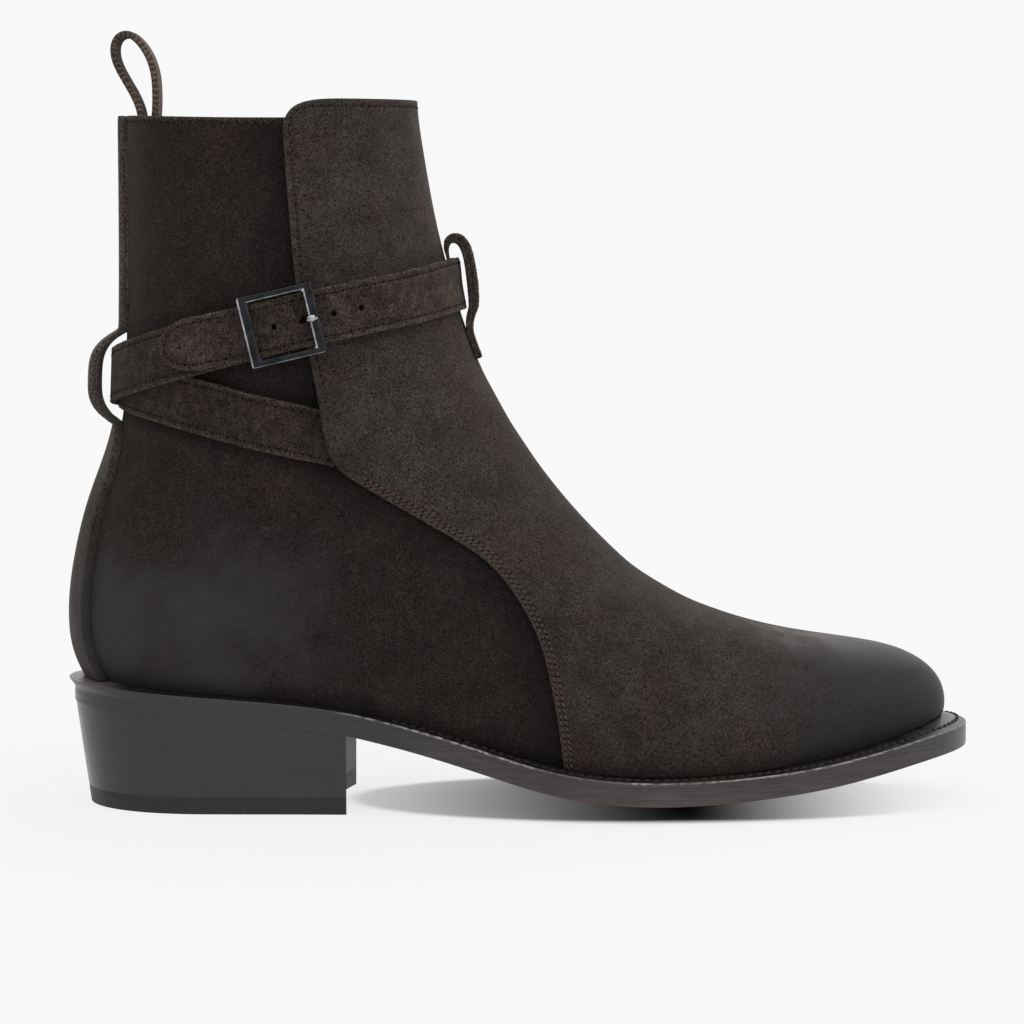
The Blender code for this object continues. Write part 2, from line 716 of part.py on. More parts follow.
def strap_line(route):
    """Dense middle line of a strap's inner face, with outward directions and running length."""
    steps = np.arange(len(route))
    dense = np.linspace(0.0, steps[-1], STRAP_SAMPLES * len(route))
    turns = spline(steps, column(route, "turn"))(dense)
    heights = spline(steps, column(route, "z"))(dense)
    lifts = fair(steps, column(route, "lift"))(dense)
    follows = fair(steps, column(route, "follow"))(dense)
    middle = []
    out = []
    for turn, z, lift, follow in zip(turns, heights, lifts, follows):
        level = level_at(turn, z)
        normal = outward(level, turn) * (1.0, 1.0, follow)
        normal /= np.linalg.norm(normal)
        middle.append(ring_point(level, turn) + normal * lift)
        out.append(normal)
    middle = np.array(middle)
    return middle, np.array(out), running_length(middle), turns


def band_grids(middle, out, across, half, thick, places):
    """Inner and outer faces of a band, at shares of its half width across."""
    inner = []
    outer = []
    for point, normal, sideways, width in zip(middle, out, across, half):
        row = [point + sideways * width * place for place in places]
        inner.append(row)
        outer.append([spot + normal * thick for spot in row])
    return inner, outer


def sideways_of(middle, out):
    run = np.gradient(middle, axis=0)
    across = np.cross(out, run)
    return across / np.linalg.norm(across, axis=1)[:, None]


def along_strap(line, places):
    """Middle points and directions of a strap at distances along it."""
    middle, out, run, _ = line
    sideways = sideways_of(middle, out)
    pick = []
    for part in (middle, out, sideways):
        pick.append(np.column_stack([np.interp(places, run, part[:, axis]) for axis in range(3)]))
    pick[1] /= np.linalg.norm(pick[1], axis=1)[:, None]
    pick[2] /= np.linalg.norm(pick[2], axis=1)[:, None]
    return pick


def add_long_strap():
    """Strap with a rounded tip and a row of holes, through the front keeper and under the buckle."""
    line = strap_line(LONG_ROUTE)
    _, _, run, turns = line
    buckle = float(np.interp(-BUCKLE_TURN, -turns, run))
    holes = [buckle - PRONG_HOLE - HOLE_PITCH * (k - 1) for k in range(HOLE_COUNT)]
    plain = np.linspace(0.0, run[-1], LONG_STRAP_ROWS)
    clear = [p for p in plain if min(abs(p - hole) for hole in holes) > ROW_CLEAR]
    tip = run[-1] - STRAP_TIP * (1.0 - np.sin(np.linspace(0.0, math.pi / 2.0, 6)))
    clear = [p for p in clear if p < tip[0] - ROW_CLEAR]
    edges = [hole + side * HOLE_HALF for hole in holes for side in (-1, 1)]
    places = np.array(sorted([*clear, *tip, *edges]))
    middle, out, across = along_strap(line, places)
    taper = np.clip((places - tip[0]) / STRAP_TIP, 0.0, 1.0)
    half = STRAP_HALF * np.sqrt(1.0 - TIP_BLUNT * taper**TIP_ROUND)
    slot = HOLE_HALF / STRAP_HALF
    inner, outer = band_grids(middle, out, across, half, STRAP_THICK, (-1.0, -slot, slot, 1.0))
    skip = {(int(np.searchsorted(places, hole)) - 1, 1) for hole in holes}
    add_wall("strap_long", outer, inner, "strap_suede", skip=skip)


def add_buckle_strap():
    line = strap_line(BUCKLE_ROUTE)
    places = np.linspace(0.0, line[2][-1], BUCKLE_STRAP_ROWS)
    middle, out, across = along_strap(line, places)
    half = np.full(len(places), STRAP_HALF)
    inner, outer = band_grids(middle, out, across, half, STRAP_THICK, (-1.0, 1.0))
    add_wall("strap_buckle", outer, inner, "strap_suede")


def add_side_band(name, table, count, half, material, shift):
    """Band along a line in the side view, as wide across the boot as twice half."""
    line, run = smooth_line(table)
    knots = running_length(np.array([(row.x, row.z) for row in table]))
    places = np.linspace(0.0, run[-1], count)
    spots = np.column_stack([np.interp(places, run, line[:, axis]) for axis in (0, 1)])
    step = np.gradient(spots, axis=0)
    normal = np.column_stack([-step[:, 1], step[:, 0]])
    thick = fair(knots / knots[-1], column(table, "thick"))(places / run[-1])
    normal *= (0.5 * thick / np.linalg.norm(normal, axis=1))[:, None]
    faces = []
    for side in (-1.0, 1.0):
        edge = spots + side * normal
        faces.append([[(x, shift + y, z) for y in (-half, half)] for x, z in edge])
    return add_wall(name, faces[0], faces[1], material)


def add_keeper():
    middle = ring_point(level_at(0.5, KEEPER_MIDDLE), 0.5)[1]
    add_side_band("keeper_front", KEEPER_LINE, KEEPER_ROWS, KEEPER_HALF, "waxed_suede", middle)


def add_pull_loop():
    add_side_band("pull_loop", LOOP_LINE, LOOP_ROWS, LOOP_HALF, "loop_webbing", SIDE_SHIFT)


def rod(points, radius):
    """Points and faces of a round rod along a line in the buckle's own frame."""
    points = np.asarray(points, float)
    run = np.gradient(points, axis=0)
    run /= np.linalg.norm(run, axis=1)[:, None]
    aslant = np.array([1.0, 1.0, 0.0])
    angles = np.linspace(0.0, 2.0 * math.pi, ROD_SIDES, endpoint=False)
    rings = []
    for point, ahead in zip(points, run):
        right = np.cross(ahead, aslant)
        right /= np.linalg.norm(right)
        above = np.cross(right, ahead)
        rings.extend(point + radius * (math.cos(a) * right + math.sin(a) * above) for a in angles)
    faces = grid_faces(len(points), ROD_SIDES, 0, wrap=True)
    last = (len(points) - 1) * ROD_SIDES
    faces += [tuple(range(ROD_SIDES))[::-1], tuple(range(last, last + ROD_SIDES))]
    return rings, faces


def buckle_place():
    """Frame of the buckle on the outer side: along the strap, across it, and outward."""
    line = strap_line(LONG_ROUTE)
    place = float(np.interp(-BUCKLE_TURN, -line[3], line[2]))
    middle, out, across = (part[0] for part in along_strap(line, np.array([place])))
    forward = np.cross(across, out)
    forward /= np.linalg.norm(forward)
    if forward[0] < 0.0:
        forward, across = -forward, -across
    upward = np.cross(out, forward)
    axes = np.column_stack([forward, upward, out])
    frame = Matrix(axes.tolist()).to_4x4()
    frame.translation = Vector(middle) * MM
    return frame


def add_buckle():
    """Rectangular frame over the strap, a bar under the strap, and a prong through one of its holes."""
    frame = buckle_place()
    base = STRAP_THICK + BUCKLE_OVER
    long_half = BUCKLE_LONG / 2.0
    tall_half = BUCKLE_TALL / 2.0
    hole_long = long_half - BUCKLE_BAR
    hole_tall = tall_half - BUCKLE_RAIL
    corners = ((-1, -1), (1, -1), (1, 1), (-1, 1))
    points = []
    for height in (base, base + BUCKLE_THICK):
        points += [(i * long_half, j * tall_half, height) for i, j in corners]
        points += [(i * hole_long, j * hole_tall, height) for i, j in corners]
    faces = []
    for k in range(4):
        n = (k + 1) % 4
        faces.append((8 + k, 8 + n, 12 + n, 12 + k))
        faces.append((k, 4 + k, 4 + n, n))
        faces.append((k, n, 8 + n, 8 + k))
        faces.append((4 + n, 4 + k, 12 + k, 12 + n))
    ring = add_piece("buckle_frame", points, faces, "dark_nickel")
    ring.matrix_world = frame
    bevel = ring.modifiers.new("edges", "BEVEL")
    bevel.width = BUCKLE_BEVEL * MM
    bevel.segments = 1
    rail = tall_half - BUCKLE_RAIL / 2.0
    staple = (
        (0, rail, base + BAR_SUNK),
        (0, rail, BAR_UNDER + BAR_BEND),
        (0, rail - BAR_BEND, BAR_UNDER),
        (0, BAR_BEND - rail, BAR_UNDER),
        (0, -rail, BAR_UNDER + BAR_BEND),
        (0, -rail, base + BAR_SUNK),
    )
    bar = add_piece("buckle_bar_under", *rod(staple, PRONG_RADIUS), "dark_nickel")
    bar.matrix_world = frame
    bar.hide_render = True
    bar.display_type = "WIRE"
    union = ring.modifiers.new("bar", "BOOLEAN")
    union.operation = "UNION"
    union.object = bar
    over = base + BUCKLE_THICK + GAP + PRONG_RADIUS
    hook = (
        (2.0 * PRONG_RADIUS + GAP, 0, BAR_UNDER),
        (PRONG_HOLE - PRONG_BEND, 0, BAR_UNDER),
        (PRONG_HOLE - PRONG_NOSE, 0, BAR_UNDER + PRONG_RADIUS),
        (PRONG_HOLE, 0, STRAP_THICK / 2.0),
        (PRONG_HOLE + PRONG_NOSE, 0, over - PRONG_BEND),
        (PRONG_HOLE + PRONG_BEND, 0, over),
        (long_half - PRONG_TIP, 0, over),
        (long_half - PRONG_NOSE, 0, over),
    )
    prong = add_piece("buckle_prong", *rod(hook, PRONG_RADIUS), "dark_nickel")
    prong.matrix_world = frame


def main():
    for thing in list(bpy.data.objects):
        bpy.data.objects.remove(thing, do_unlink=True)
    levels = ring_levels()
    add_upper(levels)
    add_front_panel(levels)
    add_back_strip()
    add_insole()
    add_welt()
    add_outsole()
    add_heel()
    add_long_strap()
    add_buckle_strap()
    add_keeper()
    add_pull_loop()
    add_buckle()


main()
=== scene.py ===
import math

import bmesh
import bpy
import numpy as np
from mathutils import Matrix, Vector
from mathutils.bvhtree import BVHTree
from mathutils.geometry import intersect_point_line
from mathutils.kdtree import KDTree


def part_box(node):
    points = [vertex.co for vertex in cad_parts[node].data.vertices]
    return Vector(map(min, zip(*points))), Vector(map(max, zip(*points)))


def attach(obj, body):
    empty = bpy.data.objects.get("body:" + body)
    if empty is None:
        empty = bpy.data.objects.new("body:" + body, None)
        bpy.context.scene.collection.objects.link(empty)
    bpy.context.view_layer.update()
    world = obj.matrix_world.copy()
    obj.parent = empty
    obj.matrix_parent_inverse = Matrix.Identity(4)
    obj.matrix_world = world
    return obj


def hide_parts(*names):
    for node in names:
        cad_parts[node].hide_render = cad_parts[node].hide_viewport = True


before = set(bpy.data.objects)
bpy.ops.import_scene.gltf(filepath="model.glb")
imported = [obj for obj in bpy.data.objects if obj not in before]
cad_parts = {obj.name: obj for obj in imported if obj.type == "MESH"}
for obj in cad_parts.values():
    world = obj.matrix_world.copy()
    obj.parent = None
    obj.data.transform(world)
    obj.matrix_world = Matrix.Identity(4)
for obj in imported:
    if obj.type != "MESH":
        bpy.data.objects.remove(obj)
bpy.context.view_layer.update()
mm = 0.001
print("frame loaded:", len(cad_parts), "nodes")

# middle line of foot and leg in millimetres, toe to collar: tells outside from inside
legLine = [(125, 4, 31), (60, 2, 34), (0, 0, 48), (-45, -1, 76), (-80, -1, 120), (-82, -1, 260)]
legLine = [Vector(p) * mm for p in legLine]
weldGap = 0.01  # millimetres between corners that are the same point
rounding = {"sharp": 50, "segments": 2, "levels": 2}


def only(piece):
    bpy.ops.object.select_all(action="DESELECT")
    piece.select_set(True)
    bpy.context.view_layer.objects.active = piece


def applyModifier(piece, kind, **settings):
    only(piece)
    modifier = piece.modifiers.new(kind.title(), kind)
    for key, value in settings.items():
        setattr(modifier, key, value)
    bpy.ops.object.modifier_apply(modifier=modifier.name)


def copyNode(node, name):
    # own copy of a CAD node, with its loose triangles merged back into quads
    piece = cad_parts[node].copy()
    piece.data = piece.data.copy()
    piece.name = name
    piece.data.name = name
    piece.parent = None
    piece.matrix_world = Matrix()
    piece.data.materials.clear()
    bpy.context.scene.collection.objects.link(piece)
    only(piece)
    bpy.ops.mesh.customdata_custom_splitnormals_clear()
    bpy.ops.object.mode_set(mode="EDIT")
    bpy.ops.mesh.select_all(action="SELECT")
    bpy.ops.mesh.remove_doubles(threshold=weldGap * mm)
    bpy.ops.mesh.tris_convert_to_quads(face_threshold=math.pi, shape_threshold=math.pi)
    bpy.ops.object.mode_set(mode="OBJECT")
    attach(piece, "root")
    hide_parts(node)
    return piece


def nowhere(spot):
    return False


def roundOff(piece, rim, keepSharp=nowhere, onlySmooth=nowhere):
    # softened cut edges, then a smooth skin
    shape = bmesh.new()
    shape.from_mesh(piece.data)
    weight = shape.edges.layers.float.new("bevel_weight_edge")
    crease = shape.edges.layers.float.new("crease_edge")
    for edge in shape.edges:
        if len(edge.link_faces) == 2 and edge.calc_face_angle() > math.radians(rounding["sharp"]):
            middle = (edge.verts[0].co + edge.verts[1].co) / 2 / mm
            edge[crease] = float(keepSharp(middle))
            edge[weight] = float(not keepSharp(middle) and not onlySmooth(middle))
            edge.smooth = not keepSharp(middle)
    shape.to_mesh(piece.data)
    shape.free()
    applyModifier(piece, "BEVEL", width=rim * mm, segments=rounding["segments"], limit_method="WEIGHT")
    applyModifier(piece, "SUBSURF", levels=rounding["levels"], render_levels=rounding["levels"])
    only(piece)
    bpy.ops.object.shade_smooth()


def fromAxis(point):
    # direction from the leg's middle line to a point
    spots = []
    for a, b in zip(legLine, legLine[1:]):
        share = min(max(intersect_point_line(point, a, b)[1], 0.0), 1.0)
        spots.append(a.lerp(b, share))
    nearest = min(spots, key=lambda spot: (point - spot).length)
    return (point - nearest).normalized()


def skyward(point):
    return Vector((0, 0, 1))


def rimChains(piece, outward=fromAxis, sharp=45, straight=60, facing=0.5):
    # lines of sharp outer edges, each point with the outer face's normal and the way in from the edge
    shape = bmesh.new()
    shape.from_mesh(piece.data)
    shape.edges.ensure_lookup_table()
    creased = [e for e in shape.edges if len(e.link_faces) == 2]
    creased = [e for e in creased if e.calc_face_angle() > math.radians(sharp)]
    free = {e.index for e in creased}
    chains = []
    for first in creased:
        if first.index not in free:
            continue
        free.discard(first.index)
        verts = list(first.verts)
        edges = [first]
        for end in (-1, 0):
            while True:
                tip = verts[end]
                before = verts[-2 if end else 1]
                ahead = tip.co - before.co
                options = [e for e in tip.link_edges if e.index in free]
                options = [(ahead.angle(e.other_vert(tip).co - tip.co), e.index, e) for e in options]
                if not options or min(options)[0] > math.radians(straight):
                    break
                edge = min(options)[2]
                free.discard(edge.index)
                at = len(verts) if end else 0
                verts.insert(at, edge.other_vert(tip))
                edges.insert(at, edge)
        rows = []
        for edge in edges:
            middle = (edge.verts[0].co + edge.verts[1].co) / 2
            face = max(edge.link_faces, key=lambda f: f.normal.dot(outward(middle)))
            along = (edge.verts[1].co - edge.verts[0].co).normalized()
            inward = face.calc_center_median() - middle
            inward = (inward - along * inward.dot(along)).normalized()
            rows.append((face.normal.copy(), inward, face.normal.dot(outward(middle))))
        chain = {"points": np.array([v.co for v in verts])}
        for key, part in (("normals", 0), ("inward", 1)):
            values = np.array([row[part] for row in rows])
            values = np.vstack([values[:1], (values[1:] + values[:-1]) / 2, values[-1:]])
            chain[key] = values / np.linalg.norm(values, axis=1)[:, None]
        chain["outer"] = float(np.mean([row[2] for row in rows]))
        chain["length"] = float(np.linalg.norm(np.diff(chain["points"], axis=0), axis=1).sum()) / mm
        chains.append(chain)
    shape.free()
    return [c for c in chains if c["outer"] > facing]


def smoothLine(points, pitch, steps=12):
    # even points on a smooth line through the given ones
    points = np.asarray(points, float)
    knots = np.vstack([2 * points[0] - points[1], points, 2 * points[-1] - points[-2]])
    t = np.linspace(0, 1, steps, endpoint=False)[:, None]
    spans = []
    for a, b, c, d in zip(knots, knots[1:], knots[2:], knots[3:]):
        spans.append(b + 0.5 * t * (c - a + t * (2 * a - 5 * b + 4 * c - d + t * (3 * (b - c) + d - a))))
    line = np.vstack(spans + [points[-1:]])
    run = np.concatenate([[0], np.cumsum(np.linalg.norm(np.diff(line, axis=0), axis=1))])
    places = np.linspace(0, run[-1], max(2, int(round(run[-1] / pitch)) + 1))
    return np.column_stack([np.interp(places, run, line[:, k]) for k in range(3)])


def insetRow(chain, inset, keep=None):
    # chain moved onto the piece by so many millimetres, cut to the points that keep accepts
    row = chain["points"] + chain["inward"] * inset * mm
    if keep is not None:
        row = row[[bool(keep(p / mm)) for p in row]]
    return row


def skinOf(*pieces):
    # search tree of finished surfaces
    points, faces = [], []
    for piece in pieces:
        start = len(points)
        points += [v.co.copy() for v in piece.data.vertices]
        faces += [[start + i for i in p.vertices] for p in piece.data.polygons]
    return BVHTree.FromPolygons(points, faces)


def treeOf(lines, pitch=0.6):
    # search tree of even points on lines
    dense = np.vstack([smoothLine(line, pitch * mm) for line in lines])
    tree = KDTree(len(dense))
    for i, point in enumerate(dense):
        tree.insert(point, i)
    tree.balance()
    return tree


def mark(piece, name, values):
    piece.data.attributes.new(name, "FLOAT", "POINT").data.foreach_set("value", values)


def markDistance(piece, name, lines):
    # distance of each vertex from the nearest line, in millimetres
    tree = treeOf(lines)
    mark(piece, name, [tree.find(v.co)[2] / mm for v in piece.data.vertices])


# Stitches

stitchForm = {"segments": 8, "rings": 6, "dive": 0.55}


def stitchMesh():
    # plump thread lying between two needle holes: a sphere whose ends dive into the leather
    bpy.ops.object.select_all(action="DESELECT")
    bpy.ops.mesh.primitive_uv_sphere_add(segments=stitchForm["segments"], ring_count=stitchForm["rings"],
                                         radius=1, rotation=(0, math.pi / 2, 0))
    bpy.ops.object.transform_apply(location=False, rotation=True, scale=False)
    form = bpy.context.object
    for v in form.data.vertices:
        v.co.z -= stitchForm["dive"] * v.co.x ** 2
    points = np.array([v.co for v in form.data.vertices])
    faces = [tuple(p.vertices) for p in form.data.polygons]
    bpy.data.objects.remove(form, do_unlink=True)
    return points, faces


stitchPoints, stitchFaces = stitchMesh()


def sewRows(name, rows, skin, thread):
    # one joined mesh of stitches and needle holes along rows of points, each laid on the skin; the needle
    # holes are dark discs, painted shade
    points, faces, shades = [], [], []
    for row in rows:
        line = smoothLine(row, thread["pitch"] * mm)
        for a, b in zip(line, line[1:]):
            along = Vector(b - a)
            for place, size, lift, shade in (((a + b) / 2, thread["thread"], thread["lift"], 0),
                                             (a, thread["hole"], 0.0, 1)):
                spot, normal, _, _ = skin.find_nearest(Vector(place))
                forward = (along - normal * along.dot(normal)).normalized()
                forward = (forward + normal.cross(forward) * thread["lean"]).normalized()
                turn = np.array([forward, normal.cross(forward), normal]).T
                start = len(points)
                form = stitchPoints * np.array(size) / 2 * mm
                points.extend(form @ turn.T + np.array(spot + normal * lift * mm))
                faces.extend(tuple(start + i for i in f) for f in stitchFaces)
                shades.extend(shade for f in stitchFaces)
    mesh = bpy.data.meshes.new(name)
    mesh.from_pydata([tuple(p) for p in points], [], faces)
    mesh.shade_smooth()
    mesh.materials.append(thread["finish"])
    mesh.materials.append(needleHoleShade)
    mesh.polygons.foreach_set("material_index", shades)
    piece = bpy.data.objects.new(name, mesh)
    bpy.context.scene.collection.objects.link(piece)
    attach(piece, "root")
    print("sewn:", name, len(points) // len(stitchPoints) // 2, "stitches")


# Shader helpers


def newMaterial(name):
    material = bpy.data.materials.new(name)
    material.use_nodes = True
    return material, material.node_tree, material.node_tree.nodes["Principled BSDF"]


def plug(tree, socket, value):
    if isinstance(value, bpy.types.NodeSocket):
        tree.links.new(value, socket)
    elif hasattr(value, "__len__") and len(value) == 3 and len(socket.default_value) == 4:
        socket.default_value = (*value, 1.0)
    else:
        socket.default_value = value


def addNode(tree, kind, inputs, **settings):
    node = tree.nodes.new(kind)
    for key, value in settings.items():
        setattr(node, key, value)
    for key, value in inputs.items():
        plug(tree, node.inputs[key], value)
    return node


def objectSpot(tree, scale=(1, 1, 1)):
    spot = addNode(tree, "ShaderNodeTexCoord", {}).outputs["Object"]
    return addNode(tree, "ShaderNodeMapping", {"Vector": spot, "Scale": scale}).outputs["Vector"]


def noise(tree, spot, scale, detail=2.0, roughness=0.5):
    inputs = {"Vector": spot, "Scale": scale, "Detail": detail, "Roughness": roughness}
    return addNode(tree, "ShaderNodeTexNoise", inputs).outputs["Fac"]


def remap(tree, value, low, high, toLow=0.0, toHigh=1.0):
    inputs = {"Value": value, "From Min": low, "From Max": high, "To Min": toLow, "To Max": toHigh}
    return addNode(tree, "ShaderNodeMapRange", inputs, interpolation_type="SMOOTHSTEP").outputs["Result"]


def calc(tree, operation, a, b=0.0):
    return addNode(tree, "ShaderNodeMath", {0: a, 1: b}, operation=operation).outputs[0]


def mixed(tree, share, a, b):
    return addNode(tree, "ShaderNodeMix", {0: share, 6: a, 7: b}, data_type="RGBA").outputs[2]


def brighten(tree, colour, value):
    return addNode(tree, "ShaderNodeHueSaturation", {"Color": colour, "Value": value}).outputs["Color"]


def attribute(tree, name):
    return addNode(tree, "ShaderNodeAttribute", {}, attribute_name=name).outputs["Fac"]


def fromSpot(tree, spot, centre, reach):
    # distance from a centre, in shares of a reach along each axis
    away = addNode(tree, "ShaderNodeVectorMath", {0: spot, 1: centre}, operation="SUBTRACT").outputs[0]
    away = addNode(tree, "ShaderNodeVectorMath", {0: away, 1: reach}, operation="DIVIDE").outputs[0]
    return addNode(tree, "ShaderNodeVectorMath", {0: away}, operation="LENGTH").outputs["Value"]


def total(tree, *parts):
    # sum of height and weight pairs
    whole = calc(tree, "MULTIPLY", *parts[0])
    for part in parts[1:]:
        whole = calc(tree, "ADD", whole, calc(tree, "MULTIPLY", *part))
    return whole


def bumped(tree, shader, height):
    # height is in millimetres
    bump = addNode(tree, "ShaderNodeBump", {"Height": height, "Strength": 1.0, "Distance": mm})
    plug(tree, shader.inputs["Normal"], bump.outputs["Normal"])


def dress(shader, **values):
    for key, value in values.items():
        shader.inputs[key.replace("_", " ")].default_value = value


# Waxed suede

# colours, share of red by an edge and away from it, share and reach of the raw edge,
# distance of the stitch groove from the edge, unevenness, and painted shade low on the boot
# quarters, panel and strip are one leather: the quarters' darker colours are painted shade, the panel's and
# the strip's lighter ones painted light
quarterSuedeShaded = {"dark": (0.0105, 0.0080, 0.0072), "light": (0.0170, 0.0130, 0.0118),
                "red": (0.0190, 0.0115, 0.0098), "tint": (0.45, 0.30), "raw": (1.0, 2.0), "row": 1.9,
                "mottle": 0.12}
panelSuedeLit = {"dark": (0.0205, 0.0168, 0.0152), "light": (0.0330, 0.0272, 0.0248),
              "red": (0.0320, 0.0205, 0.0176), "tint": (0.95, 0.40), "raw": (0.6, 1.4), "row": 2.4,
              "mottle": 0.12}
stripSuedeLit = {"dark": (0.0490, 0.0402, 0.0366), "light": (0.0780, 0.0650, 0.0595),
              "red": (0.0640, 0.0460, 0.0400), "tint": (0.60, 0.40), "raw": (0.6, 1.4), "row": 2.4,
              "mottle": 0.12, "low": 0.40}
strapSuede = {"dark": (0.0200, 0.0150, 0.0130), "light": (0.0335, 0.0255, 0.0222),
              "red": (0.0400, 0.0270, 0.0228), "tint": (0.80, 0.60), "raw": (1.0, 1.4), "row": 2.1,
              "mottle": 0.30}
rawEdge = {"colour": (0.135, 0.108, 0.078), "from": 0.1, "fuzz": 0.9}
# burnished toe and heel counter: the toe's top gets a painted highlight, and the heel's lighter grey is a
# painted sheen
burnishAndSheen = {"toe": (0.0050, 0.0049, 0.0054), "toeTopHighlight": (0.048, 0.045, 0.045), "toeUp": (0.66, 1.0),
           "toeFrom": 0.066, "toeTo": 0.120, "toeWander": 0.014, "toeShare": 0.92, "toeGloss": 0.055,
           "heel": (0.0275, 0.0250, 0.0262), "heelAt": (-0.122, 0.0, 0.063),
           "heelReach": (0.062, 0.2, 0.036), "heelWander": 0.4, "heelFade": (0.2, 1.2, 0.75, 0.0),
           "dull": 0.95, "polished": 0.55}
# scale, detail and roughness of each noise
suedeNoise = {"grain": (2100, 3, 0.7), "nap": (1250, 3, 0.65), "cloud": (95, 3, 0.6),
              "drift": (38, 3, 0.55), "patch": (330, 3, 0.6)}
# painted shade and light: a stretch along the boot or up it, and the brightness at both its ends
suedeShade = {"waist": (-0.035, 0.020, 1.0, 0.82), "vamp": (0.045, 0.075, 1.0, 1.14),
              "strapEnd": (0.128, 0.158, 0.72, 1.0), "counter": (0.100, 0.135)}
# how far the painted shade beside welt, flap and straps reaches, and how dark it is
paintedShadeBeside = {"foot": (9.0, 0.45), "flap": (15.0, 0.50), "strap": (7.0, 0.50)}
suedeBump = {"grain": 0.10, "nap": 0.14, "cloud": 0.25, "groove": -0.28}


def suede(name, look, hasFoot=True):
    material, tree, shader = newMaterial(name)
    spot = objectSpot(tree)
    x, _, z = addNode(tree, "ShaderNodeSeparateXYZ", {"Vector": spot}).outputs
    grain, nap, cloud, drift, patch = [noise(tree, spot, *values) for values in suedeNoise.values()]
    edge = attribute(tree, "edge")
    colour = mixed(tree, remap(tree, cloud, 0.25, 0.75), look["dark"], look["light"])
    nearSeam = remap(tree, edge, 4.0, 22.0, *look["tint"])
    reddish = calc(tree, "MULTIPLY", remap(tree, drift, 0.46, 0.66), nearSeam)
    colour = mixed(tree, reddish, colour, look["red"])
    speck = remap(tree, grain, 0.36, 0.64, 0.0, 1.30)
    speck = calc(tree, "ADD", speck, remap(tree, nap, 0.34, 0.66, 0.0, 0.70))
    patch = remap(tree, patch, 0.36, 0.64, 1 - look["mottle"], 1 + look["mottle"])
    colour = brighten(tree, colour, calc(tree, "MULTIPLY", speck, patch))
    roughness = burnishAndSheen["dull"]
    # painted shade low on the strip, over the counter, takes back some of its painted light
    if "low" in look:
        colour = brighten(tree, colour, remap(tree, z, *suedeShade["counter"], look["low"], 1.0))
    if hasFoot:
        # toe and heel are burnished, the toe's top with a painted highlight and the heel with a painted
        # greyish sheen, and painted shade darkens the leather towards the welt and beside flap and straps
        wander = remap(tree, cloud, 0.2, 0.8, -burnishAndSheen["toeWander"], burnishAndSheen["toeWander"])
        toe = remap(tree, calc(tree, "ADD", x, wander), burnishAndSheen["toeFrom"], burnishAndSheen["toeTo"])
        far = calc(tree, "ADD", fromSpot(tree, spot, burnishAndSheen["heelAt"], burnishAndSheen["heelReach"]),
                   remap(tree, drift, 0.2, 0.8, -burnishAndSheen["heelWander"], burnishAndSheen["heelWander"]))
        heel = remap(tree, far, *burnishAndSheen["heelFade"])
        # painted shade from the waist forward, partly taken back by painted light on the fore vamp
        for stretch in ("waist", "vamp"):
            colour = brighten(tree, colour, remap(tree, x, *suedeShade[stretch]))
        # painted sheen: the burnished heel counter turns a lighter grey
        colour = mixed(tree, heel, colour, burnishAndSheen["heel"])
        # painted highlight on the toe's top, where it faces up
        upward = remap(tree, attribute(tree, "up"), *burnishAndSheen["toeUp"])
        toeColour = mixed(tree, upward, burnishAndSheen["toe"], burnishAndSheen["toeTopHighlight"])
        colour = mixed(tree, calc(tree, "MULTIPLY", toe, burnishAndSheen["toeShare"]), colour, toeColour)
        # painted shade beside welt, flap and straps
        for near, (reach, dark) in paintedShadeBeside.items():
            colour = brighten(tree, colour, remap(tree, attribute(tree, near), 0.5, reach, dark, 1.0))
        worn = calc(tree, "MAXIMUM", toe, heel)
        roughness = remap(tree, worn, 0.0, 1.0, burnishAndSheen["dull"], burnishAndSheen["polished"])
        plug(tree, shader.inputs["Coat Weight"], calc(tree, "MULTIPLY", toe, burnishAndSheen["toeGloss"]))
    else:
        # the strap's sewn end lies in the shade of the other strap
        colour = brighten(tree, colour, remap(tree, z, *suedeShade["strapEnd"]))
    fuzz = calc(tree, "ADD", edge, remap(tree, nap, 0.3, 0.7, -rawEdge["fuzz"], rawEdge["fuzz"]))
    rawShare, rawReach = look["raw"]
    raw = remap(tree, fuzz, rawEdge["from"], rawReach, rawShare, 0.0)
    raw = calc(tree, "MULTIPLY", raw, remap(tree, grain, 0.47, 0.62))
    rawColour = brighten(tree, rawEdge["colour"], remap(tree, nap, 0.3, 0.7, 0.5, 1.25))
    colour = mixed(tree, raw, colour, rawColour)
    plug(tree, shader.inputs["Base Color"], colour)
    plug(tree, shader.inputs["Roughness"], roughness)
    fromRow = calc(tree, "ABSOLUTE", calc(tree, "SUBTRACT", edge, look["row"]))
    groove = remap(tree, fromRow, 0.1, 1.0, 1.0, 0.0)
    bumped(tree, shader, total(tree, *zip((grain, nap, cloud, groove), suedeBump.values())))
    dress(shader, Sheen_Weight=0.07, Sheen_Roughness=0.5, Sheen_Tint=(0.80, 0.72, 0.62, 1.0),
          Specular_IOR_Level=0.12, Coat_Roughness=0.30)
    return material


threadShade = 0.55


def threadMaterial(name, colour, roughness=0.9):
    material, tree, shader = newMaterial(name)
    strand = noise(tree, objectSpot(tree), 2600, 2, 0.6)
    shade = [c * threadShade for c in colour]
    plug(tree, shader.inputs["Base Color"], mixed(tree, remap(tree, strand, 0.3, 0.7), shade, colour))
    bumped(tree, shader, total(tree, (strand, 0.08)))
    dress(shader, Roughness=roughness, Specular_IOR_Level=0.08)
    return material


liningLook = {"dark": (0.135, 0.072, 0.038), "light": (0.205, 0.118, 0.066)}


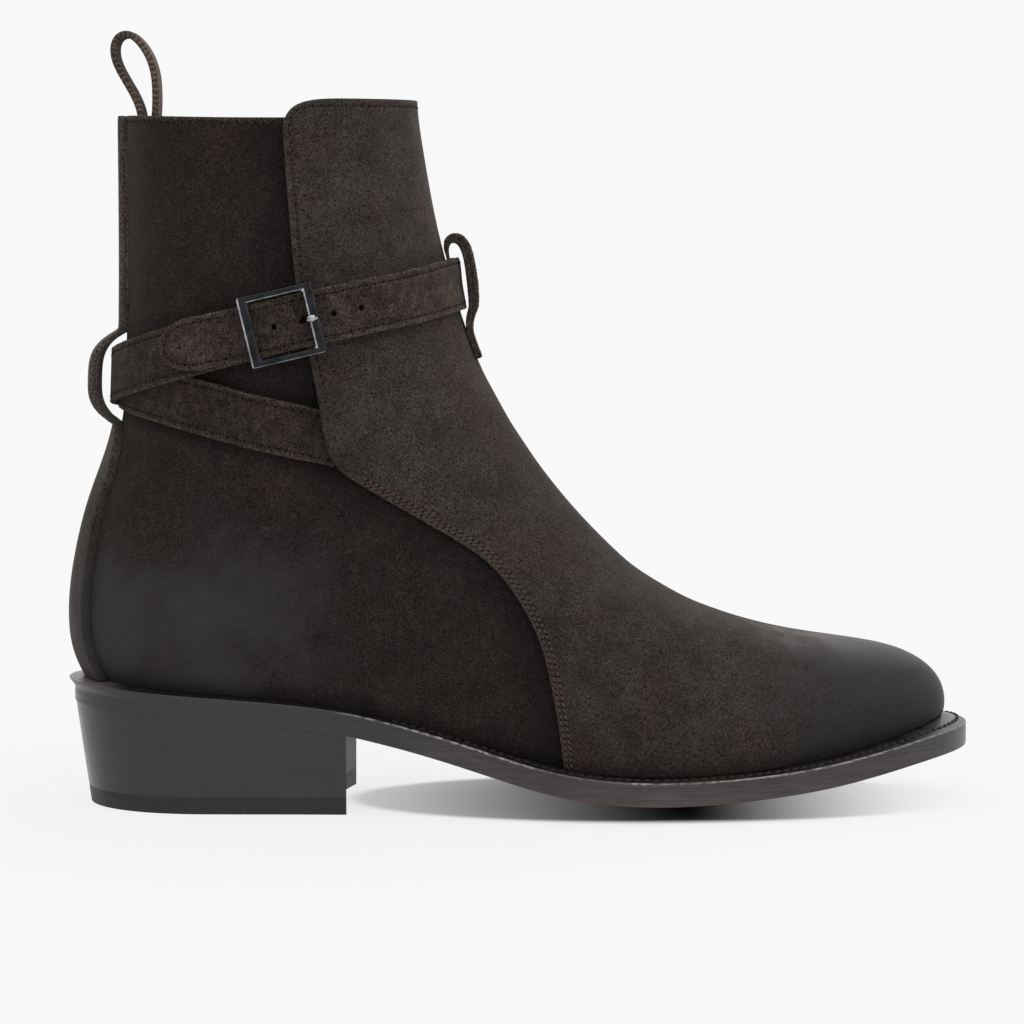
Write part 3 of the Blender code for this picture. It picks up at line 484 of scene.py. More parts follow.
def liningLeather():
    material, tree, shader = newMaterial("lining_leather")
    spot = objectSpot(tree)
    pores = noise(tree, spot, 1800, 2, 0.6)
    cloud = noise(tree, spot, 45, 3, 0.55)
    colour = mixed(tree, remap(tree, cloud, 0.3, 0.7), liningLook["dark"], liningLook["light"])
    colour = brighten(tree, colour, remap(tree, pores, 0.3, 0.7, 0.88, 1.08))
    plug(tree, shader.inputs["Base Color"], colour)
    plug(tree, shader.inputs["Roughness"], remap(tree, cloud, 0.2, 0.8, 0.48, 0.62))
    bumped(tree, shader, total(tree, (pores, 0.07), (cloud, 0.25)))
    return material


# rub is the lighter rim's colour and worn its largest share: partly wear, partly a painted highlight
weltLook = {"dark": (0.014, 0.0100, 0.0096), "light": (0.036, 0.0275, 0.0262),
            "rub": (0.300, 0.280, 0.265), "worn": 1.0, "roughness": 0.38, "coat": 0.2}
soleLook = {"dark": (0.018, 0.0135, 0.0132), "light": (0.047, 0.0358, 0.0346),
            "rub": (0.060, 0.050, 0.046), "worn": 0.4, "roughness": 0.38, "coat": 0.2}
heelLook = {"dark": (0.0116, 0.0094, 0.0100), "light": (0.0164, 0.0135, 0.0144),
            "from": -0.050, "to": -0.010}
# stretches along the sole: the lip behind the heel with its painted highlight and the painted shade on the
# welt's top before it, the darker toe, and where the lighter rim of wear and painted highlight starts
edgeShade = {"lip": (-0.140, -0.128, 5.5, -0.55), "toe": (0.070, 0.125, 1.0, 0.70),
             "brightRim": (-0.064, -0.050)}


def soleEdgeLeather(name, look):
    # stained and waxed edge: fine lines along the sole, lighter at its rims by wear and a painted
    # highlight, black over the heel
    material, tree, shader = newMaterial(name)
    spot = objectSpot(tree)
    x = addNode(tree, "ShaderNodeSeparateXYZ", {"Vector": spot}).outputs["X"]
    front = remap(tree, x, heelLook["from"], heelLook["to"])
    lines = noise(tree, objectSpot(tree, (1, 1, 24)), 60, 3, 0.65)
    cloud = noise(tree, spot, 90, 3, 0.6)
    streak = remap(tree, lines, 0.3, 0.7)
    colour = mixed(tree, streak, look["dark"], look["light"])
    colour = brighten(tree, colour, remap(tree, cloud, 0.3, 0.7, 0.8, 1.15))
    colour = mixed(tree, front, mixed(tree, streak, heelLook["dark"], heelLook["light"]), colour)
    # painted shade darkens the welt's top, and a painted highlight brightens it on the lip behind the heel
    top = remap(tree, attribute(tree, "up"), 0.45, 0.85)
    lip = remap(tree, x, *edgeShade["lip"])
    colour = brighten(tree, colour, calc(tree, "ADD", calc(tree, "MULTIPLY", top, lip), 1.0))
    colour = brighten(tree, colour, remap(tree, x, *edgeShade["toe"]))
    # the lighter rim: partly wear, partly a painted highlight
    marks = noise(tree, objectSpot(tree, (0.5, 0.5, 1)), 900, 3, 0.6)
    patchy = remap(tree, marks, 0.38, 0.62, 0.1, look["worn"])
    worn = calc(tree, "MULTIPLY", remap(tree, attribute(tree, "edge"), 0.1, 0.9, 1.0, 0.0), patchy)
    worn = calc(tree, "MULTIPLY", worn, remap(tree, x, *edgeShade["brightRim"]))
    plug(tree, shader.inputs["Base Color"], mixed(tree, worn, colour, look["rub"]))
    smooth, dull = look["roughness"] - 0.07, look["roughness"] + 0.1
    plug(tree, shader.inputs["Roughness"], remap(tree, lines, 0.25, 0.75, smooth, dull))
    bumped(tree, shader, total(tree, (lines, 0.08), (cloud, 0.10)))
    dress(shader, Coat_Weight=look["coat"], Coat_Roughness=0.2, Specular_IOR_Level=0.4)
    return material


bottomLook = {"dark": (0.085, 0.036, 0.026), "light": (0.135, 0.062, 0.043)}


def soleBottomLeather():
    material, tree, shader = newMaterial("sole_bottom_leather")
    spot = objectSpot(tree)
    fibre = noise(tree, objectSpot(tree, (0.35, 1, 1)), 420, 3, 0.65)
    cloud = noise(tree, spot, 28, 3, 0.55)
    colour = mixed(tree, remap(tree, cloud, 0.3, 0.7), bottomLook["dark"], bottomLook["light"])
    colour = brighten(tree, colour, remap(tree, fibre, 0.3, 0.7, 0.85, 1.12))
    plug(tree, shader.inputs["Base Color"], colour)
    plug(tree, shader.inputs["Roughness"], remap(tree, cloud, 0.2, 0.8, 0.40, 0.58))
    bumped(tree, shader, total(tree, (fibre, 0.10)))
    return material


stackLift = 5.6 * mm  # thickness of one lift of the heel
breastLook = {"dark": (0.050, 0.048, 0.048), "light": (0.120, 0.115, 0.114),
              "shade": (0.014, 0.026, 0.45, 1.0)}
rubberLook = {"dark": (0.0105, 0.0101, 0.0112), "light": (0.0178, 0.0172, 0.0188)}
# rib is the pitch in millimetres, shade is painted shade on the leg at the back and painted light on the
# front one
webLook = {"dark": (0.040, 0.029, 0.023), "light": (0.098, 0.073, 0.058), "rib": 1.9, "wobble": 0.6,
           "shade": (-0.131, -0.124, 0.75, 1.2)}


def liftJoints(tree, z, start, end):
    # 1 at the joint between two lifts, 0 away from it
    share = calc(tree, "FRACT", calc(tree, "DIVIDE", z, stackLift))
    return remap(tree, calc(tree, "ABSOLUTE", calc(tree, "SUBTRACT", share, 0.5)), start, end, 1.0, 0.0)


def heelLeather():
    # black stained lifts, polished, with their joints showing as faint lines
    material, tree, shader = newMaterial("heel_leather")
    spot = objectSpot(tree)
    z = addNode(tree, "ShaderNodeSeparateXYZ", {"Vector": spot}).outputs["Z"]
    lines = noise(tree, objectSpot(tree, (1, 1, 30)), 50, 4, 0.65)
    cloud = noise(tree, spot, 60, 2, 0.5)
    joint = liftJoints(tree, z, 0.0, 0.05)
    colour = mixed(tree, remap(tree, lines, 0.3, 0.7), heelLook["dark"], heelLook["light"])
    colour = brighten(tree, colour, remap(tree, joint, 0.0, 1.0, 1.0, 0.7))
    plug(tree, shader.inputs["Base Color"], colour)
    plug(tree, shader.inputs["Roughness"], remap(tree, lines, 0.25, 0.75, 0.26, 0.38))
    bumped(tree, shader, total(tree, (lines, 0.03), (cloud, 0.12), (joint, -0.012)))
    dress(shader, Coat_Weight=0.2, Coat_Roughness=0.15, Specular_IOR_Level=0.4)
    return material


def heelBreast():
    # front face of the stack, cut across the lifts and only lightly stained
    material, tree, shader = newMaterial("heel_breast_leather")
    spot = objectSpot(tree)
    z = addNode(tree, "ShaderNodeSeparateXYZ", {"Vector": spot}).outputs["Z"]
    lines = noise(tree, objectSpot(tree, (1, 0.15, 1)), 420, 3, 0.65)
    joint = liftJoints(tree, z, 0.02, 0.08)
    colour = mixed(tree, remap(tree, lines, 0.3, 0.7), breastLook["dark"], breastLook["light"])
    colour = brighten(tree, colour, remap(tree, z, *breastLook["shade"]))
    colour = brighten(tree, colour, remap(tree, joint, 0.0, 1.0, 1.0, 0.25))
    plug(tree, shader.inputs["Base Color"], colour)
    bumped(tree, shader, total(tree, (lines, 0.08), (joint, -0.10)))
    dress(shader, Roughness=0.5)
    return material


def heelRubber():
    material, tree, shader = newMaterial("heel_rubber")
    spot = objectSpot(tree)
    pebble = noise(tree, spot, 1400, 2, 0.5)
    colour = mixed(tree, remap(tree, pebble, 0.3, 0.7), rubberLook["dark"], rubberLook["light"])
    plug(tree, shader.inputs["Base Color"], colour)
    plug(tree, shader.inputs["Roughness"], remap(tree, noise(tree, spot, 120), 0.3, 0.7, 0.48, 0.62))
    bumped(tree, shader, total(tree, (pebble, 0.05)))
    dress(shader, Specular_IOR_Level=0.3)
    return material


def nickel(name, dark, light):
    material, tree, shader = newMaterial(name)
    rub = noise(tree, objectSpot(tree), 260, 3, 0.6)
    plug(tree, shader.inputs["Base Color"], mixed(tree, remap(tree, rub, 0.3, 0.7), dark, light))
    plug(tree, shader.inputs["Roughness"], remap(tree, rub, 0.25, 0.75, 0.10, 0.20))
    dress(shader, Metallic=1.0)
    return material


def webbing():
    # woven tape: slanted ribs that meet in the middle of the tape
    material, tree, shader = newMaterial("loop_webbing")
    spot = objectSpot(tree)
    fuzz = noise(tree, spot, 1500, 3, 0.65)
    wobble = remap(tree, noise(tree, spot, 330, 3, 0.6), 0.2, 0.8, -webLook["wobble"], webLook["wobble"])
    across = calc(tree, "ABSOLUTE", attribute(tree, "across"))
    run = calc(tree, "ADD", calc(tree, "ADD", attribute(tree, "run"), across), wobble)
    wave = calc(tree, "SINE", calc(tree, "MULTIPLY", run, 2 * math.pi / webLook["rib"]))
    rib = remap(tree, wave, -0.9, 0.7)
    colour = mixed(tree, rib, webLook["dark"], webLook["light"])
    x = addNode(tree, "ShaderNodeSeparateXYZ", {"Vector": spot}).outputs["X"]
    colour = brighten(tree, colour, remap(tree, x, *webLook["shade"]))
    colour = brighten(tree, colour, remap(tree, fuzz, 0.25, 0.75, 0.4, 1.5))
    plug(tree, shader.inputs["Base Color"], colour)
    bumped(tree, shader, total(tree, (rib, 0.20), (fuzz, 0.22)))
    dress(shader, Roughness=0.95, Sheen_Weight=0.08, Specular_IOR_Level=0.15)
    return material


# Pieces

# sizes in millimetres, angles in degrees
seamCorner = 114.8  # height of the flap's lower corner
upperCut = {"rim": 0.55}
panelCut = {"rim": 0.40}
stripCut = {"rim": 0.70, "near": 1.3, "into": 0.5}
# the sewn end lies beyond side and under below, and runs on by tuck
strapCut = {"rim": 0.40, "shortest": 60.0, "side": 25.0, "below": 137.0, "endRow": 4.5, "tuck": 9.0,
            "droop": 0.25, "skive": 1.3, "holeInset": 4.0, "holeAcross": 5.0, "holeShare": 0.55,
            "prongReach": 6.0, "prongHoleShare": 0.65}
# the keeper's leg under legTop is pressed on until gap is left, in levels of this height
keeperCut = {"rim": 0.60, "legTop": 166.0, "over": 6.0, "level": 3.0, "gap": 0.1, "shortest": 20.0}
loopCut = {"rim": 0.45, "fuller": 0.35, "shortest": 20.0, "step": 0.4}
weltCut = {"rim": 0.60}
soleCut = {"rim": 0.60, "edgeUnder": 3.1, "bottom": -0.35, "heelSeat": -50.0}
heelCut = {"rim": 0.45, "seat": 15.0, "topSeat": 2.0, "breast": 0.7}
insoleCut = {"rim": 1.0}
# the depth and facing limits pick the buckle faces that get the painted reflection
buckleCut = {"rim": 0.14, "sharp": 25, "smooth": 35, "brightDepth": 1.2, "tip": 1.2,
             "slant": (0.3, 0.95), "brightFacing": 0.1, "bead": (3.7, 2.5, 2.1), "beadBack": 1.9}
seatGap = 0.3  # between the solids of sole and heel
lasted = {"near": 8.0, "above": 0.9, "down": 0.6}  # lower edge of the leather, pulled down onto the welt
frayed = {"near": 1.2, "out": 0.16}
frayDraws = np.random.default_rng(11)

quarters = copyNode("upper", "quarters")
panel = copyNode("front_panel", "frontPanel")
strip = copyNode("back_strip", "backStrip")
keeper = copyNode("keeper_front", "frontKeeper")
longStrap = copyNode("strap_long", "longStrap")
buckleStrap = copyNode("strap_buckle", "buckleStrap")
loop = copyNode("pull_loop", "pullLoop")
insole = copyNode("insole", "sockLining")
welt = copyNode("welt", "stormWelt")
outsole = copyNode("outsole", "leatherSole")
heel = copyNode("heel_stack", "stackedHeel")
topPiece = copyNode("heel_top_piece", "heelTopPiece")
buckleRing = copyNode("buckle_frame", "buckleRing")
buckleTongue = copyNode("buckle_prong", "buckleTongue")


def tuckEnd(strap, side):
    # the sewn end of a strap runs on under the flap, skived thin
    low = [v for v in strap.data.vertices if v.co.y * side > strapCut["side"] * mm]
    low = [v for v in low if v.co.z < strapCut["below"] * mm]
    front = max(v.co.x for v in low)
    end = [v for v in low if v.co.x > front - strapCut["endRow"] * mm]
    middle = sum(abs(v.co.y) for v in end) / len(end)
    for v in end:
        v.co += Vector((strapCut["tuck"], 0, -strapCut["droop"] * strapCut["tuck"])) * mm
        if abs(v.co.y) > middle:
            v.co.y -= side * strapCut["skive"] * mm


tuckEnd(longStrap, -1)
tuckEnd(buckleStrap, 1)


def lengthOf(chain):
    return chain["length"]


# edges of the cut pieces, read before they are rounded
collarFoot = 200.0  # the collar's rim is above this height
panelRim = max(rimChains(panel), key=lengthOf)
collarChains = [c for c in rimChains(quarters) if c["points"][:, 2].min() > collarFoot * mm]
collarRim = max(collarChains, key=lengthOf)
stripRims = sorted(rimChains(strip), key=lengthOf)[-2:]
strapRims = [c for c in rimChains(longStrap) if c["length"] > strapCut["shortest"]]
buckleStrapRims = [c for c in rimChains(buckleStrap) if c["length"] > strapCut["shortest"]]
keeperRims = [c for c in rimChains(keeper) if c["length"] > keeperCut["shortest"]]
loopRims = [c for c in rimChains(loop) if c["length"] > loopCut["shortest"]]
weltRims = sorted(rimChains(welt, skyward), key=lengthOf)
leatherRims = [panelRim, collarRim] + stripRims + strapRims + buckleStrapRims
print("rims:", [round(lengthOf(c)) for c in leatherRims])
print("welt rims:", [round(lengthOf(c)) for c in weltRims])

footLine = weltRims[0]["points"]
weltTop = treeOf([weltRims[-1]["points"]])
weltFoot = treeOf([footLine])
# depths under the welt's rim: its lower edge and the sole's upper edge lie between them
weltUnder = 1.5
soleUnder = 5.0


def underRim(spot):
    return weltTop.find(spot * mm)[0].z / mm - spot.z


def atWeltJoint(spot):
    # welt and sole are trimmed and waxed as one face
    return weltUnder < underRim(spot) < soleUnder


def atSoleJoints(spot):
    return atWeltJoint(spot) or spot.x < soleCut["heelSeat"] and underRim(spot) > weltUnder


def everywhere(spot):
    return True


def atHole(spot):
    # prong holes lie well inside the strap's edges
    gaps = [np.linalg.norm(c["points"] / mm - np.array(spot), axis=1).min() for c in strapRims]
    return min(gaps) > strapCut["holeInset"]


def shrinkHoles():
    # punched holes close up again, least the one that the prong stands in
    tongue = sum((v.co for v in buckleTongue.data.vertices), Vector()) / len(buckleTongue.data.vertices)
    free = [v for v in longStrap.data.vertices if atHole(v.co / mm)]
    while free:
        group = [v for v in free if (v.co - free[0].co).length < strapCut["holeAcross"] * mm]
        free = [v for v in free if v not in group]
        centre = sum((v.co for v in group), Vector()) / len(group)
        empty = (centre - tongue).length > strapCut["prongReach"] * mm
        share = strapCut["holeShare" if empty else "prongHoleShare"]
        for v in group:
            v.co = centre + (v.co - centre) * share


shrinkHoles()
for v in heel.data.vertices:
    if v.co.z > heelCut["seat"] * mm:
        v.co.z += seatGap * mm
for v in topPiece.data.vertices:
    if v.co.z > heelCut["topSeat"] * mm:
        v.co.z += seatGap * mm
for v in outsole.data.vertices:
    if atWeltJoint(v.co / mm):
        v.co.z += seatGap * mm
quarterSkin = skinOf(quarters)
for v in strip.data.vertices:
    spot, normal, _, gap = quarterSkin.find_nearest(v.co)
    if gap < stripCut["near"] * mm:
        v.co = spot - normal * stripCut["into"] * mm
# the keeper's lower leg lies on the panel
panelSkin = skinOf(panel)
legGaps = [(v.co.z, panelSkin.find_nearest(v.co)[3]) for v in keeper.data.vertices]
for v in keeper.data.vertices:
    share = min(max((keeperCut["legTop"] * mm - v.co.z) / (keeperCut["over"] * mm), 0.0), 1.0)
    near = min(gap for z, gap in legGaps if abs(z - v.co.z) < keeperCut["level"] * mm)
    v.co -= panelSkin.find_nearest(v.co)[1] * share * max(near - keeperCut["gap"] * mm, 0.0)
for piece in (quarters, panel, strip):
    for v in piece.data.vertices:
        spot, _, gap = weltFoot.find(v.co)
        if gap < lasted["near"] * mm and v.co.z - spot.z < lasted["above"] * mm:
            v.co.z -= lasted["down"] * mm
for piece, cut in ((quarters, upperCut), (panel, panelCut), (strip, stripCut), (keeper, keeperCut),
                   (buckleStrap, strapCut), (loop, loopCut), (insole, insoleCut)):
    roundOff(piece, cut["rim"])
for piece in (heel, topPiece):
    roundOff(piece, heelCut["rim"], keepSharp=everywhere)
roundOff(longStrap, strapCut["rim"], onlySmooth=atHole)
roundOff(welt, weltCut["rim"], keepSharp=atWeltJoint)
roundOff(outsole, soleCut["rim"], keepSharp=atSoleJoints)

only(loop)
bpy.ops.object.mode_set(mode="EDIT")
bpy.ops.mesh.select_all(action="SELECT")
bpy.ops.transform.shrink_fatten(value=loopCut["fuller"] * mm)
bpy.ops.object.mode_set(mode="OBJECT")

# dark plating, its near-black colour partly painted dark reflection; the bright nickel is painted
# reflection
darkMetal = nickel("dark_nickel", (0.013, 0.013, 0.015), (0.030, 0.029, 0.033))
reflectionMetal = nickel("painted_reflection_nickel", (0.16, 0.16, 0.18), (0.46, 0.45, 0.47))
outFace = max(buckleRing.data.polygons, key=lambda f: f.area * (f.normal.y < -0.5)).normal.copy()
brightSide = Vector((-0.75, 0.0, -0.66))
for piece in (buckleRing, buckleTongue):
    # painted reflection: the plating's edges that look down and back are bright
    piece.data.materials.append(darkMetal)
    piece.data.materials.append(reflectionMetal)
    crest = max(v.co.dot(outFace) for v in piece.data.vertices)
    for face in piece.data.polygons:
        slanted = buckleCut["slant"][0] < face.normal.dot(outFace) < buckleCut["slant"][1]
        brightRim = slanted and face.normal.dot(brightSide) > buckleCut["brightFacing"]
        outermost = face.center.dot(outFace) > crest - buckleCut["brightDepth"] * mm
        face.material_index = int(brightRim and outermost)
    applyModifier(piece, "BEVEL", width=buckleCut["rim"] * mm, segments=2, limit_method="ANGLE",
                  angle_limit=math.radians(buckleCut["sharp"]))
    only(piece)
    bpy.ops.object.shade_smooth_by_angle(angle=math.radians(buckleCut["smooth"]))


def tongueBead():
    # rounded end of the prong, over the bar, in bright nickel as a painted highlight
    points = [v.co for v in buckleTongue.data.vertices]
    front = max(p.x for p in points)
    end = [p for p in points if p.x > front - buckleCut["tip"] * mm]
    tip = sum(end, Vector()) / len(end)
    along = tip - sum(points, Vector()) / len(points)
    along = (along - outFace * along.dot(outFace)).normalized()
    bpy.ops.object.select_all(action="DESELECT")
    bpy.ops.mesh.primitive_uv_sphere_add(segments=20, ring_count=12, radius=0.5)
    bead = bpy.context.object
    bead.name = "tongueBead"
    turn = Matrix([along, outFace.cross(along), outFace]).transposed().to_4x4()
    size = Matrix.Diagonal((*buckleCut["bead"], 1.0 / mm)) * mm
    bead.data.transform(Matrix.Translation(tip - along * buckleCut["beadBack"] * mm) @ turn @ size)
    bpy.ops.object.shade_smooth()
    bead.data.materials.append(reflectionMetal)
    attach(bead, "root")


tongueBead()
print("pieces rounded")

# Creases and give of the leather

# the flap lifts behind x, from foot to head
flapLift = {"side": 15.0, "above": 90.0, "x": (-42.0, -58.0), "foot": (108.0, 118.0),
            "head": (134.0, 148.0), "out": 2.1}
creases = [
    # start, middle and end of each trough in side view, its depth and half width, all in millimetres
    {"line": [(58, 66), (44, 52), (34, 34)], "depth": 0.35, "half": 5.0},
    {"line": [(40, 77), (28, 62), (20, 44)], "depth": 0.30, "half": 5.0},
    {"line": [(-4, 126), (-22, 122), (-40, 124)], "depth": 0.55, "half": 5.5},
    {"line": [(-14, 143), (-30, 140), (-46, 146)], "depth": 0.40, "half": 5.5},
    {"line": [(-134, 118), (-112, 116), (-92, 122)], "depth": 0.45, "half": 6.0},
]
ridge = {"height": 0.45, "away": 1.7}  # beside each trough, in shares of its depth and half width


def pressCreases(piece):
    points = np.array([v.co for v in piece.data.vertices]) / mm
    push = np.zeros(len(points))
    for crease in creases:
        line = smoothLine([(x, 0, z) for x, z in crease["line"]], 1.0)[:, [0, 2]]
        gaps = np.linalg.norm(points[:, None, [0, 2]] - line[None], axis=2)
        place = gaps.argmin(axis=1) / (len(line) - 1)
        gap = gaps.min(axis=1) / crease["half"]
        fade = np.sin(np.pi * np.clip(place, 0.02, 0.98)) ** 0.6
        raised = ridge["height"] * np.exp(-(gap - ridge["away"]) ** 2)
        push += crease["depth"] * fade * (raised - np.exp(-gap ** 2))
    for v, amount in zip(piece.data.vertices, push):
        if abs(amount) > 0.01:
            v.co += fromAxis(v.co) * float(amount) * mm


def ease(value, start, end):
    share = min(max((value - start) / (end - start), 0.0), 1.0)
    return share * share * (3 - 2 * share)


def liftFlap():
    # the flap rides over the strap's sewn end on both sides
    for v in panel.data.vertices:
        x, y, z = v.co / mm
        if abs(y) > flapLift["side"] and z > flapLift["above"]:
            amount = ease(x, *flapLift["x"]) * ease(z, *flapLift["foot"]) * (1 - ease(z, *flapLift["head"]))
            v.co.y += math.copysign(flapLift["out"] * amount * mm, y)


for piece in (quarters, panel):
    pressCreases(piece)
liftFlap()
print("creases pressed")

# Distances that the finishes follow

for piece, rims in ((quarters, [collarRim]), (panel, [panelRim]), (strip, stripRims),
                    (longStrap, strapRims), (buckleStrap, buckleStrapRims), (keeper, keeperRims)):
    markDistance(piece, "edge", [c["points"] for c in rims])
outOfReach = 99.0  # stands for a distance on pieces that nothing shades
for piece in (quarters, panel, strip):
    markDistance(piece, "foot", [footLine])
for piece in (quarters, panel, strip, welt, outsole):
    mark(piece, "up", [v.normal.z for v in piece.data.vertices])
for piece in (panel, strip):
    for name in ("flap", "strap"):
        mark(piece, name, [outOfReach] * len(piece.data.vertices))
markDistance(quarters, "flap", [panelRim["points"]])
markDistance(quarters, "strap", [c["points"] for c in strapRims + buckleStrapRims])
markDistance(welt, "edge", [weltRims[-1]["points"]])
markDistance(outsole, "edge", [weltRims[-1]["points"] - np.array([0, 0, soleCut["edgeUnder"] * mm])])


def markLoop():
    # run along the tape and place across it, in millimetres
    line = smoothLine(loopRims[0]["points"], loopCut["step"] * mm)
    tree = KDTree(len(line))
    for i, point in enumerate(line):
        tree.insert((point[0], 0, point[2]), i)
    tree.balance()
    runs = [tree.find((v.co.x, 0, v.co.z))[1] * loopCut["step"] for v in loop.data.vertices]
    middle = (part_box("pull_loop")[0].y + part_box("pull_loop")[1].y) / 2
    mark(loop, "run", runs)
    mark(loop, "across", [(v.co.y - middle) / mm for v in loop.data.vertices])


def fray(piece):
    # raw edges aren't quite even
    count = len(piece.data.vertices)
    points, normals, fromEdge = np.empty(count * 3), np.empty(count * 3), np.empty(count)
    piece.data.vertices.foreach_get("co", points)
    piece.data.vertex_normals.foreach_get("vector", normals)
    piece.data.attributes["edge"].data.foreach_get("value", fromEdge)
    push = frayDraws.uniform(-1.0, 1.0, count) * frayed["out"] * mm * (fromEdge < frayed["near"])
    piece.data.vertices.foreach_set("co", points + normals * np.repeat(push, 3))
    piece.data.update()


markLoop()
for piece in (longStrap, buckleStrap, keeper, strip):
    fray(piece)
print("finishes marked")

# Finishes

lining = liningLeather()
soleBottom = soleBottomLeather()
quarterFinish = suede("waxed_suede_quarters_shaded", quarterSuedeShaded)
panelFinish = suede("waxed_suede_panel_lit", panelSuedeLit)
stripFinish = suede("waxed_suede_strip_lit", stripSuedeLit)
strapFinish = suede("strap_suede", strapSuede, hasFoot=False)
weltFinish = soleEdgeLeather("welt_leather", weltLook)
soleFinish = soleEdgeLeather("sole_leather", soleLook)
strapSewing = threadMaterial("strap_thread", (0.024, 0.017, 0.014))
flapSewing = threadMaterial("flap_thread", (0.036, 0.024, 0.020))
seamSewing = threadMaterial("seam_thread", (0.066, 0.048, 0.040))
weltSewing = threadMaterial("welt_thread", (0.020, 0.0165, 0.0155), 0.45)
# dark discs at the needle holes: painted shade
needleHoleShade = threadMaterial("needle_hole_shade", (0.0035, 0.0028, 0.0024), 0.9)
for piece, finish, slot in (
        (quarters, quarterFinish, "waxed_suede"), (panel, panelFinish, "waxed_suede"),
        (strip, stripFinish, "waxed_suede"), (keeper, strapFinish, "waxed_suede"),
        (longStrap, strapFinish, "strap_suede"), (buckleStrap, strapFinish, "strap_suede"),
        (loop, webbing(), "loop_webbing"), (insole, lining, "lining_leather"),
        (welt, weltFinish, "welt_leather"), (outsole, soleFinish, "sole_leather"),
        (heel, heelLeather(), "heel_leather"), (topPiece, heelRubber(), "heel_rubber")):
    piece.data.materials.append(finish)
heel.data.materials.append(heelBreast())
for face in heel.data.polygons:
    if face.normal.x > heelCut["breast"]:
        face.material_index = 1


liningCut = {"inward": -0.3, "byWelt": -0.6, "weltReach": 4.0}


def lineInside(piece):
    # faces that look in towards the leg get the lining, by the welt only those that do so clearly
    piece.data.materials.append(lining)
    fromWelt = piece.data.attributes["foot"].data
    for face in piece.data.polygons:
        high = fromWelt[face.vertices[0]].value > liningCut["weltReach"]
        limit = liningCut["inward" if high else "byWelt"]
        face.material_index = int(face.normal.dot(fromAxis(face.center)) < limit)


lineInside(quarters)
outsole.data.materials.append(soleBottom)
for face in outsole.data.polygons:
    if face.normal.z < soleCut["bottom"]:
        face.material_index = 1
print("finishes on")

# Sewing

# thread and hole sizes are along the row, across it and up from the leather, in millimetres,
# and insets are from the edge
flapThread = {"pitch": 2.8, "thread": (1.9, 0.60, 0.45), "hole": (0.95, 0.65, 0.24), "lift": -0.04,
              "lean": 0.0, "finish": flapSewing, "inset": 2.35, "collarInset": 1.9, "collarTo": -76}
strapThread = {"pitch": 2.8, "thread": (1.9, 0.60, 0.45), "hole": (1.10, 0.70, 0.26), "lift": -0.06,
               "lean": 0.0, "finish": strapSewing, "inset": 2.1}
seamTwin = {"pitch": 2.1, "thread": (2.0, 0.95, 0.75), "hole": (0.75, 0.62, 0.26), "lift": 0.0,
            "lean": 0.45, "finish": seamSewing, "insets": (1.2, 2.7), "underCorner": 1}
weltCord = {"pitch": 3.1, "thread": (3.0, 1.25, 1.15), "hole": (0.90, 0.90, 0.30), "lift": 0.05,
            "lean": 0.25, "finish": weltSewing, "inset": 3.4, "from": -48}
barTack = {"x": (-29.8, -27.4), "z": (94.5, 108.0), "y": -38.0}

panelSkin = skinOf(panel)
flapRows = [insetRow(panelRim, flapThread["inset"], lambda p: p[2] > seamCorner)]
sewRows("flapStitches", flapRows, panelSkin, flapThread)
seamRows = []
seamTop = seamCorner - seamTwin["underCorner"]
for inset in seamTwin["insets"]:
    for side in (-1, 1):
        seamRows.append(insetRow(panelRim, inset, lambda p: p[2] < seamTop and p[1] * side > 0))
for x in barTack["x"]:
    seamRows.append(np.array([(x, barTack["y"], z) for z in barTack["z"]]) * mm)
sewRows("vampSeamStitches", seamRows, panelSkin, seamTwin)
collarRows = [insetRow(collarRim, flapThread["collarInset"], lambda p: p[0] < flapThread["collarTo"])]
sewRows("collarStitches", collarRows, skinOf(quarters), flapThread)
longRows = [insetRow(c, strapThread["inset"]) for c in strapRims]
sewRows("longStrapStitches", longRows, skinOf(longStrap), strapThread)
buckleRows = [insetRow(c, strapThread["inset"]) for c in buckleStrapRims]
sewRows("buckleStrapStitches", buckleRows, skinOf(buckleStrap), strapThread)
weltRows = [insetRow(weltRims[-1], weltCord["inset"], lambda p: p[0] > weltCord["from"])]
sewRows("weltStitches", weltRows, skinOf(welt), weltCord)

# Studio

floorSize = 60.0
# the floor glows like a light table, apart from the spot that the sole covers: there a painted shadow takes
# the glow away, fading towards heel and toe
floorLook = {"colour": 0.10, "glow": 0.79, "sole": (0.043, -0.002, 0.0), "reach": (0.104, 0.050, 1.0),
             "rim": (0.80, 1.0), "ball": 0.056, "heelward": 0.178, "toeward": 0.088}
# a stretch of direction, up or towards the toe, and the strength at both its ends
worldLight = {"overhead": (0.06, 0.9, 0.94, 1.75), "toeSide": (0.25, 0.95, 1.0, 1.5),
              "heelSide": (-0.95, -0.25, -0.5, 0.0)}
cameraPlace = {"at": (-0.002, -1.150, 0.205), "aim": (-0.002, 0.0, 0.097), "lens": 120.7}


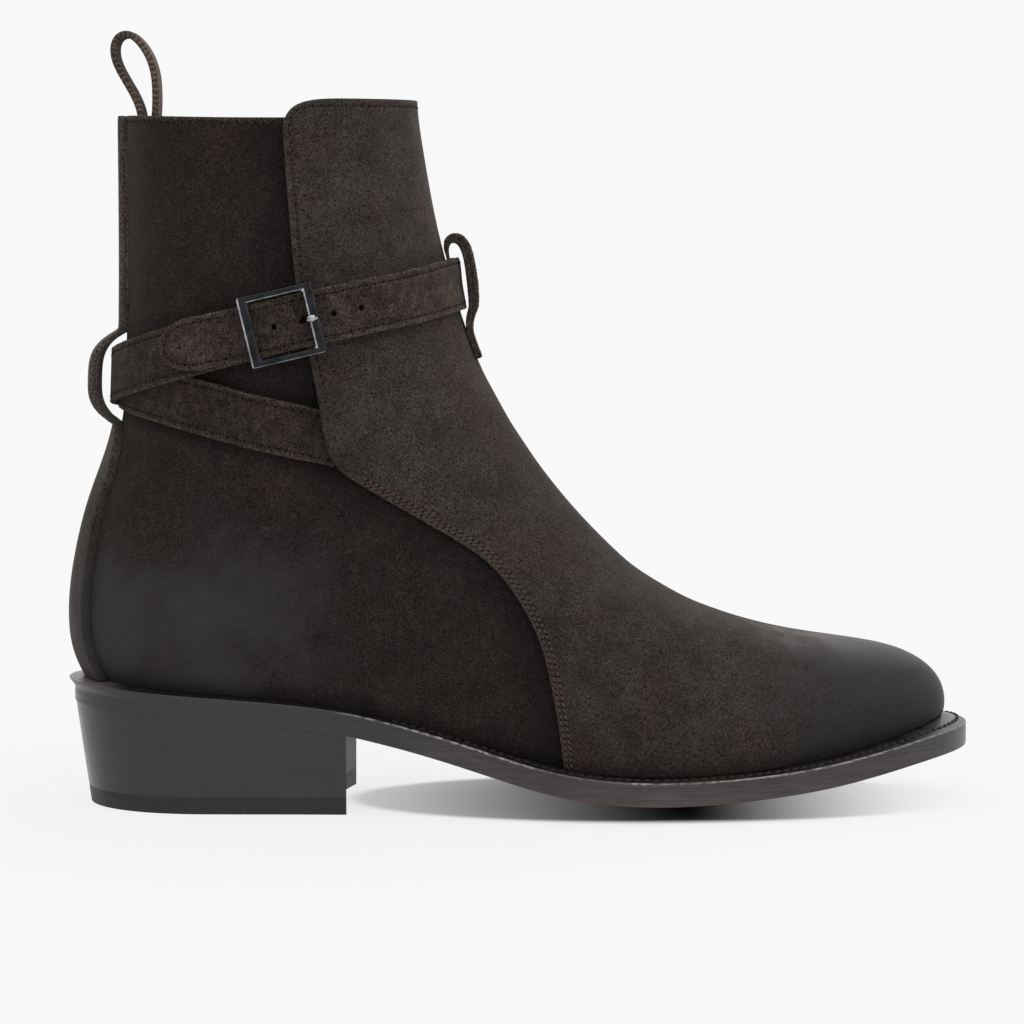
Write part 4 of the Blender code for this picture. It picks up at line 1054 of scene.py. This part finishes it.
def studio():
    bpy.ops.object.select_all(action="DESELECT")
    bpy.ops.mesh.primitive_plane_add(size=floorSize)
    floor = bpy.context.object
    floor.name = "floor"
    material, tree, shader = newMaterial("pale_floor")
    spot = objectSpot(tree)
    fromSole = fromSpot(tree, spot, floorLook["sole"], floorLook["reach"])
    beyond = remap(tree, fromSole, *floorLook["rim"])
    x = addNode(tree, "ShaderNodeSeparateXYZ", {"Vector": spot}).outputs["X"]
    fromBall = calc(tree, "SUBTRACT", x, floorLook["ball"])
    unshaded = calc(tree, "MAXIMUM", beyond, remap(tree, fromBall, 0.0, floorLook["toeward"]))
    unshaded = calc(tree, "MAXIMUM", unshaded, remap(tree, fromBall, -floorLook["heelward"], 0.0, 1.0, 0.0))
    plug(tree, shader.inputs["Emission Strength"], calc(tree, "MULTIPLY", unshaded, floorLook["glow"]))
    grey = floorLook["colour"]
    dress(shader, Base_Color=(grey, grey, grey, 1.0), Roughness=1.0, Specular_IOR_Level=0.0,
          Emission_Color=(1.0, 1.0, 1.0, 1.0))
    floor.data.materials.append(material)

    # brighter overhead and on the toe's side, dimmer behind the heel
    world = bpy.data.worlds.new("studio")
    bpy.context.scene.world = world
    world.use_nodes = True
    tree = world.node_tree
    aim = addNode(tree, "ShaderNodeTexCoord", {}).outputs["Generated"]
    toeward, _, height = addNode(tree, "ShaderNodeSeparateXYZ", {"Vector": aim}).outputs
    overhead = remap(tree, height, *worldLight["overhead"])
    toeSide = remap(tree, toeward, *worldLight["toeSide"])
    turned = calc(tree, "ADD", toeSide, remap(tree, toeward, *worldLight["heelSide"]))
    plug(tree, tree.nodes["Background"].inputs["Strength"], calc(tree, "MULTIPLY", overhead, turned))
    tree.nodes["Background"].inputs["Color"].default_value = (1.0, 1.0, 1.0, 1.0)

    camera = bpy.data.objects.new("camera", bpy.data.cameras.new("camera"))
    bpy.context.scene.collection.objects.link(camera)
    camera.location = cameraPlace["at"]
    ahead = Vector(cameraPlace["aim"]) - camera.location
    camera.rotation_euler = ahead.to_track_quat("-Z", "Y").to_euler()
    camera.data.lens = cameraPlace["lens"]
    bpy.context.scene.camera = camera
    bpy.context.scene.view_settings.view_transform = "Standard"


studio()
print("studio set")
